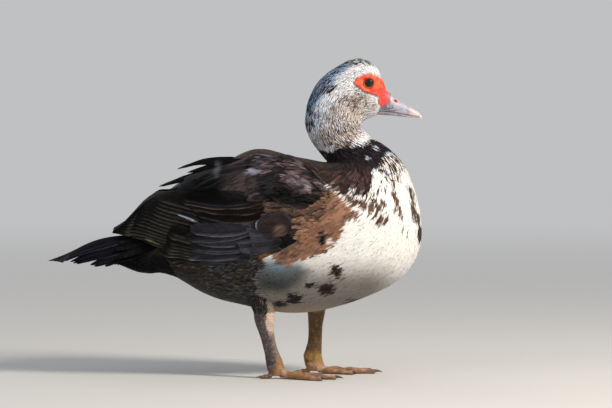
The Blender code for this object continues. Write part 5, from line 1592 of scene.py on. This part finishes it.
def tail_feathers():
    surface = tail_surface(0.0)
    pairs = 9
    roots_x, roots_w, tips_x, tips_w, lift = [], [], [], [], []
    for i in range(pairs):
        for sign in (-1, 1):
            roots_x.append(160 - i * 0.6)
            roots_w.append(sign * (0.04 + i * 0.085))
            tips_x.append((47.6, 50.0, 54, 70.5, 73.5, 77, 91, 95, 106)[i] + (1.2 if sign > 0 else 0))
            tips_w.append(sign * (0.30, 0.52, 0.66, 0.76, 0.84, 0.89, 0.93, 0.96, 0.98)[i])
            lift.append(-0.0004 - 0.00052 * i - (0.00025 if sign > 0 else 0))
    rows = 30
    s = np.linspace(0, 1, rows + 1)[None, :]
    col = lambda a: np.array(a, float)[:, None]
    x = col(roots_x) + (col(tips_x) - col(roots_x)) * s
    w = col(roots_w) + (col(tips_w) - col(roots_w)) * s ** 1.25
    path = tail_at(x, w)
    n = len(roots_x)
    g = drape(surface, path[0][:, 0], path[1][:, 0], 0.0, 1.0, np.full(n, 0.0090), np.array(lift), np.full(n, 0.0004), rows, 10, RNG, (0.45, 0.8, 0.95, 1.0, 1.0, 0.98, 0.9),
              0.12, camber=0.10, thick=0.0007, tip_width=0.42, path=path)
    step = np.repeat([0, 0, 0.0004, 0.0030, 0.0030, 0.0026, 0.0036, 0.0034, 0.0020], 2)
    g["verts"][..., 2] -= step[:, None] * g["s"] ** 2
    quills = shade_vane(g, jitter(np.array([0.0048, 0.0046, 0.0066]), n, 0.15), RNG, shaft=0.35, root_shade=0.0)
    quills = margin(quills, np.tile([1, -1], pairs), 0.7)
    # coverts over the tail's root, above and at the sides
    n = 46
    lane = np.tile(np.linspace(-0.95, 0.95, 11), 5)[:n]
    row = np.repeat(np.arange(5), 11)[:n]
    rx = 176 - row * 6.0 + RNG.normal(0, 1, n)
    tx = rx - 34 + RNG.normal(0, 2, n)
    s = np.linspace(0, 1, 13)[None, :]
    x = rx[:, None] + (tx - rx)[:, None] * s
    w = lane[:, None] * (0.85 + 0.15 * s)
    path = tail_at(x, w)
    g = drape(surface, path[0][:, 0], path[1][:, 0], 0.0, 1.0, np.full(n, 0.0074), 0.0006 + 0.0006 * (4 - row) / 4, np.full(n, 0.0022), 12, 8, RNG, LONG, 0.35,
              camber=0.14, thick=0.0005, tip_width=0.85, path=path, teeth=0.08)
    upper = shade_vane(g, jitter(COAL * 0.9, n, 0.3), RNG, edge=(0.014, 0.012, 0.012), edge_from=0.94, shaft=0.15)
    # coverts under the tail, on the underside of the body's rear

    def keep(P, u, v):
        return np.minimum(v, AROUND - v) > AROUND * 0.30

    u, v, P = scatter(SKIN, RNG, lambda P, u, v: 0.0052, keep, 4000, (352, 408))
    x, y = elevation(P)
    length = np.interp(x, [122, 150, 180], [0.016, 0.030, 0.030]) * (0.9 + 0.2 * RNG.random(len(u)))
    g = drape(SKIN, u, v, RNG.normal(0, 0.12, len(u)), length, 0.0062, 0.0012, 0.0030, 8, 8, RNG, LONG, 0.38, camber=0.16, thick=0.0004, teeth=0.14)
    under = shade_vane(g, jitter(np.array([0.006, 0.0055, 0.006]), len(u), 0.3), RNG, edge=(0.014, 0.012, 0.012), edge_from=0.94)
    for group in (quills, upper, under):
        x, y = elevation(group["root"])
        group["place"] = np.stack([x, group["root"][:, 1] / GRID + np.where(group is under, 60, 0)], 1)
    feather_piece("tail_feathers", [quills, upper, under], STEER, ("tail",), patch=0.02)


tail_feathers()


# ------------------------------------------------------------------- thighs
def thigh_tufts():
    groups = []
    for side_name in ("right", "left"):
        sign = FEET[side_name][0]
        rings = leg_rings(THIGHS[side_name], sign, 14, 72)
        middle = rings.mean(1, keepdims=True)
        surface = Surface(middle + (rings - middle) * 0.88, True, rings - middle)
        u, v, P = scatter(surface, RNG, lambda P, u, v: 0.0022, lambda P, u, v: np.ones(len(u), bool), 3000, (0, surface.nu - 5))
        low = u / surface.nu
        g = drape(surface, u, v, RNG.normal(0, 0.15, len(u)), (0.0115 - 0.0060 * low) * (0.85 + 0.3 * RNG.random(len(u))), 0.0017 - 0.0006 * low, 0.0, 0.0017 - 0.0008 * low,
                  5, 4, RNG, (0.5, 1.0, 1.0, 0.8, 0.4), 0.35, teeth=0.2, camber=0.18, thick=0.00026)
        groups.append(shade_vane(g, body_colour(g["flat"], RNG, 0.5, g["w"]), RNG, root_shade=0.2))
        x, y = elevation(g["root"])
        g["place"] = np.stack([v / 72 * 40 + (0 if sign < 0 else 60), u], 1)
    feather_piece("coat_thighs", groups, DOWNY, patch=0.008)


thigh_tufts()


# --------------------------------------------------------------------- bill
def bill_material():
    """Horn of the bill: pale bluish pink with fine growth lines, darker at its root and mouth line."""
    t = Nodes("bill_horn")
    place = t.add("NewGeometry").outputs["Position"]
    streak = t.noise(t.stretched(place, (0.35, 1.0, 1.0)), 900.0, 3.0, 0.55)
    broad = t.noise(place, 160.0, 3.0, 0.6)
    fine = t.noise(place, 3600.0, 2.0, 0.6)
    tone = t.spread(t.maths("ADD", t.maths("MULTIPLY", streak, 0.6), t.maths("MULTIPLY", broad, 0.4)), 0.3, 0.7, 0.88, 1.10)
    scale = t.add("VectorMath", operation="SCALE")
    t.link(t.attribute("tint"), scale.inputs[0])
    t.link(tone, scale.inputs["Scale"])
    rough = t.spread(broad, 0.3, 0.7, 0.34, 0.46)
    height = t.maths("ADD", t.maths("MULTIPLY", streak, 0.7), t.maths("MULTIPLY", fine, 0.3))
    t.set(Base_Color=scale.outputs[0], Roughness=rough, Specular_IOR_Level=0.5, Coat_Weight=0.12, Coat_Roughness=0.3, Normal=t.bump(height, 0.00016, 0.7))
    return t.mat


BILL = bill_material()


def bill_rings(rows, up, around, steps):
    table = curve(flat(rows), np.linspace(0, len(rows) - 1, (len(rows) - 1) * steps + 1))
    a = np.linspace(0, 2 * math.pi, around, endpoint=False)
    c, s = np.cos(a), np.sin(a)
    rings = []
    for tx, ty, bx, by, half in table:
        top, bottom = side(tx, ty), side(bx, by)
        body = np.sign(c) * np.abs(c) ** 1.0
        if up:
            # domed above, nearly flat below
            h = np.where(c > 0, 1 - (1 - np.abs(c)) ** 1.0, 0.0)
            rise = 0.5 + 0.5 * np.where(c > 0, np.abs(c) ** 0.92, -np.abs(c) ** 0.30)
            wide = np.sign(s) * np.abs(s) ** np.where(c > 0, 0.80, 0.55)
        else:
            rise = 0.5 + 0.5 * np.where(c > 0, np.abs(c) ** 0.30, -np.abs(c) ** 0.92)
            wide = np.sign(s) * np.abs(s) ** np.where(c > 0, 0.55, 0.80)
        ring = bottom + (top - bottom) * rise[:, None]
        ring[:, 1] += half * GRID * wide
        rings.append(ring)
    return np.array(rings)


def bill_piece(name, rows, up, node):
    rows = list(rows)
    (tx, ty), (bx, by), half = rows[0]
    rows[0] = ((tx - 3.4, ty - (1.5 if up else 0.3)), (bx - 3.2, by + 0.1), half * 0.96)
    rings = bill_rings(rows, up, 120, 22)
    n, k = rings.shape[:2]
    centre = rings.mean(1, keepdims=True)
    normal = unit(rings - centre)
    x, y = elevation(rings)
    lateral = rings[..., 1]
    tint = np.zeros((n, k, 3)) + np.array([0.40, 0.40, 0.47])
    mid_y = (y - y.min(1, keepdims=True)) / np.maximum(np.ptp(y, axis=1, keepdims=True), 1e-6)
    warm = ramp(x, 402, 418)[..., None]
    tint = tint * (1 - warm) + np.array([0.66, 0.50, 0.50]) * warm
    spots = ramp(noise(rings, 0.004, 71) * 0.6 + noise(rings, 0.0018, 72) * 0.4, 0.50, 0.66)[..., None]
    tint = tint * (1 - spots * 0.30)
    if up:
        # nostril: an oval pit with a soft pink rim, one on each flank
        dx, dy = x - 395.4, y - 100.9
        c, s = math.cos(math.radians(32)), math.sin(math.radians(32))
        along, across = dx * c + dy * s, -dx * s + dy * c
        pit = np.hypot(along / 2.1, across / 1.05)
        rings = rings - np.stack([np.zeros((n, k)), np.sign(lateral) * 0.0016 * ramp(pit, 1.15, 0.55), np.zeros((n, k))], -1)
        rings = rings + np.stack([np.zeros((n, k)), np.sign(lateral) * 0.00030 * np.exp(-((pit - 1.45) / 0.28) ** 2), np.zeros((n, k))], -1)
        pink = (ramp(pit, 2.2, 1.3))[..., None]
        tint = tint * (1 - pink * 0.75) + np.array([0.70, 0.24, 0.22]) * pink * 0.75
        hole = ramp(pit, 1.1, 0.7)[..., None]
        tint = tint * (1 - hole) + np.array([0.045, 0.010, 0.010]) * hole
        # nail at the tip, a low shield with a groove round it
        nail = np.hypot((x - 421.5) / 6.2, lateral / (5.6 * GRID)) + np.where(mid_y > 0.9, 0.6, 0)
        rings = rings - normal * (0.00035 * np.exp(-((nail - 1.0) / 0.12) ** 2))[..., None]
        shield = ramp(nail, 1.0, 0.8)[..., None]
        tint = tint * (1 - shield) + np.array([0.74, 0.66, 0.60]) * shield
        # ridge line and the flared, toothed cutting edge
        rings[..., 2] += 0.00035 * np.exp(-(lateral / 0.0016) ** 2) * ramp(x, 387, 392) * ramp(x, 416, 408)
        lip = np.exp(-((mid_y - 0.93) / 0.06) ** 2) * ramp(x, 384, 390) * ramp(x, 420, 414)
        rings[..., 1] += np.sign(lateral) * 0.00035 * lip
        teeth = ramp(np.abs(np.sin(math.pi * x / 1.25)), 0.2, 0.8) * ramp(mid_y, 0.88, 0.97) * ramp(x, 386, 391) * ramp(x, 415, 410)
        tint = tint * (1 - 0.25 * teeth[..., None])
        # brown strip at the root, dark patch by the gape
        root = (ramp(x + (y - 98) * 0.12, 391.6, 389.4) * ramp(y, 84, 86) * ramp(y, 107, 104))[..., None]
        tint = tint * (1 - root * 0.85) + np.array([0.17, 0.115, 0.10]) * root * 0.85
        knob = ramp(np.hypot((x - 389.5) / 3.4, (y - 93.2) / 4.0), 1.1, 0.6)[..., None]
        tint = tint * (1 - knob * 0.6) + np.array([0.30, 0.20, 0.19]) * knob * 0.6
        base = (ramp(x, 388.9, 387.5) * ramp(y, 84, 86.5) * ramp(y, 107.0, 105.0))[..., None]
        tint = tint * (1 - base) + np.array([0.74, 0.060, 0.080]) * base
    else:
        tint = tint * np.array([1.02, 0.84, 0.84])
        shade = ramp(x, 404, 386)[..., None]
        tint = tint * (1 - shade * 0.35)
    edge = (ramp(mid_y, 0.965, 1.0) if up else ramp(mid_y, 0.05, 0.0))[..., None]
    tint = tint * (1 - edge * 0.7) + np.array([0.34, 0.12, 0.10]) * edge * 0.7
    gape = ramp(np.hypot((x - 388.0) / 10.5, (y - 108.4 - 0.12 * (x - 388)) / 3.4), 1.2, 0.5) * ramp(noise(rings * np.array([0.35, 1.0, 1.6]), 0.0016, 73), 0.22, 0.50)
    gape = gape[..., None]
    tint = tint * (1 - gape * 0.85) + np.array([0.070, 0.055, 0.075]) * gape * 0.85
    verts, groups = tube(rings)
    mesh = mesh_of(name, verts, groups)
    point_attributes(mesh, {"tint": np.clip(np.vstack([tint.reshape(-1, 3), tint[0].mean(0)[None], tint[-1].mean(0)[None]]), 0.004, 1)})
    obj = place_object(name, mesh, BILL)
    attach(obj, "root")
    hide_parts(node)


bill_piece("bill_top", BILL_UPPER, True, "bill_upper")
bill_piece("bill_under", BILL_LOWER, False, "bill_lower")


# --------------------------------------------------------------------- eyes
def eye_material():
    t = Nodes("eye_ball")
    place = t.add("NewGeometry").outputs["Position"]
    fleck = t.noise(place, 2600.0, 3.0, 0.6)
    scale = t.add("VectorMath", operation="SCALE")
    t.link(t.attribute("tint"), scale.inputs[0])
    t.link(t.spread(fleck, 0.3, 0.7, 0.75, 1.25), scale.inputs["Scale"])
    t.set(Base_Color=scale.outputs[0], Roughness=0.07, Specular_IOR_Level=0.40)
    return t.mat


EYE = eye_material()
for sign, node in ((-1, "eye_right"), (1, "eye_left")):
    axis, centre = eye_axis(sign), EYES[sign]
    up = unit(np.array([0, 0, 1.0]) - axis * axis[2])
    fore = np.cross(up, axis)
    theta = np.radians(np.concatenate([np.linspace(1.0, 60, 48), np.linspace(65, 176, 22)]))
    phi = np.linspace(0, 2 * math.pi, 72, endpoint=False)
    cornea = EYE_RADIUS + 0.00045 * ramp(np.degrees(theta), 31, 18)
    rings = centre + (np.cos(theta)[:, None, None] * axis + np.sin(theta)[:, None, None] * (np.cos(phi)[None, :, None] * fore + np.sin(phi)[None, :, None] * up)) * cornea[:, None, None]
    deg = np.degrees(theta)[:, None]
    iris = np.array([0.026, 0.011, 0.008]) * (1 + 0.35 * np.cos(phi * 23)[None, :] * ramp(deg, 14, 26))[..., None]
    tint = np.where((deg < 18.5)[..., None], np.array([0.003, 0.003, 0.003]), iris)
    rim = ramp(deg, 33, 37)[..., None] * np.ones((1, 72, 1))
    tint = tint * (1 - rim) + np.array([0.016, 0.008, 0.006]) * rim
    verts, groups = tube(rings)
    mesh = mesh_of("eyeball_" + node[4:], verts, groups)
    point_attributes(mesh, {"tint": np.vstack([tint.reshape(-1, 3), tint[0].mean(0)[None], tint[-1].mean(0)[None]])})
    obj = place_object("eyeball_" + node[4:], mesh, EYE)
    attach(obj, "root")
    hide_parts(node)


# -------------------------------------------------------------------- claws
def claw_material():
    t = Nodes("claw_horn")
    place = t.add("NewGeometry").outputs["Position"]
    line = t.noise(t.stretched(place, (1.0, 1.0, 0.4)), 1800.0, 3.0, 0.6)
    colour = t.mix(t.spread(line, 0.35, 0.68), (0.030, 0.022, 0.020), (0.115, 0.082, 0.066))
    t.set(Base_Color=colour, Roughness=0.36, Specular_IOR_Level=0.5, Normal=t.bump(line, 0.0002, 0.7))
    return t.mat


CLAW = claw_material()


def claw(name, start, yaw, pitch, length, radius):
    along, across = np.array([math.cos(yaw), math.sin(yaw), 0]), np.array([-math.sin(yaw), math.cos(yaw), 0])
    a = np.linspace(0, 2 * math.pi, 20, endpoint=False)
    p = np.array(start, float) - along * 0.0016
    rings = []
    steps = 18
    for i in range(steps + 1):
        t = i / steps
        slope = math.radians(pitch[0] + (pitch[1] - pitch[0]) * t)
        way = along * math.cos(slope) + np.array([0, 0, math.sin(slope)])
        lift = np.cross(way, across)
        r = radius * (1 - 0.90 * t ** 1.2)
        ring = p + across * (r * 0.74 * np.cos(a))[:, None] + lift * (r * np.where(np.sin(a) > 0, 1.05, 0.72) * np.sin(a))[:, None]
        ring[:, 2] = np.maximum(ring[:, 2], 0.0)
        rings.append(ring)
        p = p + way * (length + 0.0016) / steps
    verts, groups = tube(rings)
    obj = place_object("nail_" + name[5:], mesh_of("nail_" + name[5:], verts, groups), CLAW)
    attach(obj, "root")
    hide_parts(name)


for side_name in ("right", "left"):
    sign, root_at, yaw, hind = FEET[side_name]
    root = side(*root_at, sign * FOOT_SPREAD)
    root[2] = 0.0
    for toe, length in TOE_LENGTHS.items():
        turn = math.radians(yaw) - sign * math.radians(TOE_SPLAY[toe])
        thick = TOE_THICK[toe]
        way = np.array([math.cos(turn), math.sin(turn), 0])
        start = root + way * length + np.array([0, 0, thick * 0.58 * 1.1 - 0.0002])
        claw(f"claw_{toe}_{side_name}", start, turn, (8, -24), 0.0095 * {"ii": 0.85, "iii": 1.0, "iv": 0.8}[toe], thick * 0.58 * 0.80)
    low, high = (np.array(v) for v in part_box("claw_i_" + side_name))
    turn = math.radians(hind)
    way = np.array([math.cos(turn), math.sin(turn), 0])
    start = np.where(way > 0, low, high)
    start[1] = (low[1] + high[1]) / 2 - way[1] * 0.0029
    start[2] = 0.0021
    claw(f"claw_i_{side_name}", start, turn, (4, -14), 0.0058, 0.0014)


# ------------------------------------------------------------ floor and light
BACKDROP = (0.66, 0.665, 0.675)


def floor_material():
    """Pale studio floor that runs into the backdrop's tone far from the bird."""
    t = Nodes("studio_floor")
    place = t.add("NewGeometry").outputs["Position"]
    grain = t.noise(place, 60.0, 3.0, 0.6)
    reach = t.add("VectorMath", operation="LENGTH")
    t.link(place, reach.inputs[0])
    far = t.add("MapRange", interpolation_type="SMOOTHSTEP")
    t.link(reach.outputs["Value"], far.inputs[0])
    far.inputs[1].default_value, far.inputs[2].default_value = 0.5, 5.0
    near = t.mix(grain, (0.53, 0.526, 0.518), (0.56, 0.556, 0.548))
    t.set(Base_Color=t.mix(far.outputs[0], near, (0.0, 0.0, 0.0)), Roughness=0.9, Specular_IOR_Level=0.0, Normal=t.bump(grain, 0.0004, 0.2),
          Emission_Color=BACKDROP, Emission_Strength=t.maths("MULTIPLY", far.outputs[0], 0.80))
    return t.mat


a = np.linspace(0, 2 * math.pi, 96, endpoint=False)
ring = np.stack([60 * np.cos(a), 60 * np.sin(a), np.full(96, -0.0004)], 1)
floor_mesh = mesh_of("studio_floor", ring, [np.arange(96)[None]])
floor = place_object("studio_floor", floor_mesh, floor_material())

world = bpy.data.worlds.new("studio")
bpy.context.scene.world = world
world.use_nodes = True
world.node_tree.nodes["Background"].inputs["Color"].default_value = (*BACKDROP, 1)
world.node_tree.nodes["Background"].inputs["Strength"].default_value = 0.80


def area_light(name, at, target, size, power, colour):
    light = bpy.data.lights.new(name, "AREA")
    light.shape, light.size, light.energy, light.color = "DISK", size, power, colour
    obj = bpy.data.objects.new(name, light)
    obj.location = at
    obj.rotation_euler = (Vector(target) - Vector(at)).to_track_quat("-Z", "Y").to_euler()
    bpy.context.scene.collection.objects.link(obj)


area_light("key", (2.0, -1.6, 1.9), (0.05, 0.0, 0.2), 0.8, 112, (1.0, 0.91, 0.79))
area_light("fill", (-2.0, -2.2, 1.6), (0.0, 0.0, 0.2), 1.8, 12, (0.78, 0.88, 1.0))
area_light("rim", (-1.3, 2.0, 2.2), (0.0, 0.0, 0.25), 1.6, 7, (0.80, 0.90, 1.0))

# -------------------------------------------------------------------- camera
camera_data = bpy.data.cameras.new("camera")
camera = bpy.data.objects.new("camera", camera_data)
bpy.context.scene.collection.objects.link(camera)
target = Vector(((306 - ZERO_LINE) * GRID + SHIFT, 0.0, (FLOOR_LINE - 204) * GRID))
tilt, distance = math.radians(2.0), 5.0
camera.location = target + Vector((0, -math.cos(tilt) * distance, math.sin(tilt) * distance))
camera.rotation_euler = (target - camera.location).to_track_quat("-Z", "Y").to_euler()
camera_data.sensor_width = 36.0
camera_data.lens = 36.0 * distance / (612 * GRID)
bpy.context.scene.camera = camera
bpy.context.scene.view_settings.view_transform = "Standard"
bpy.context.scene.view_settings.look = "None"
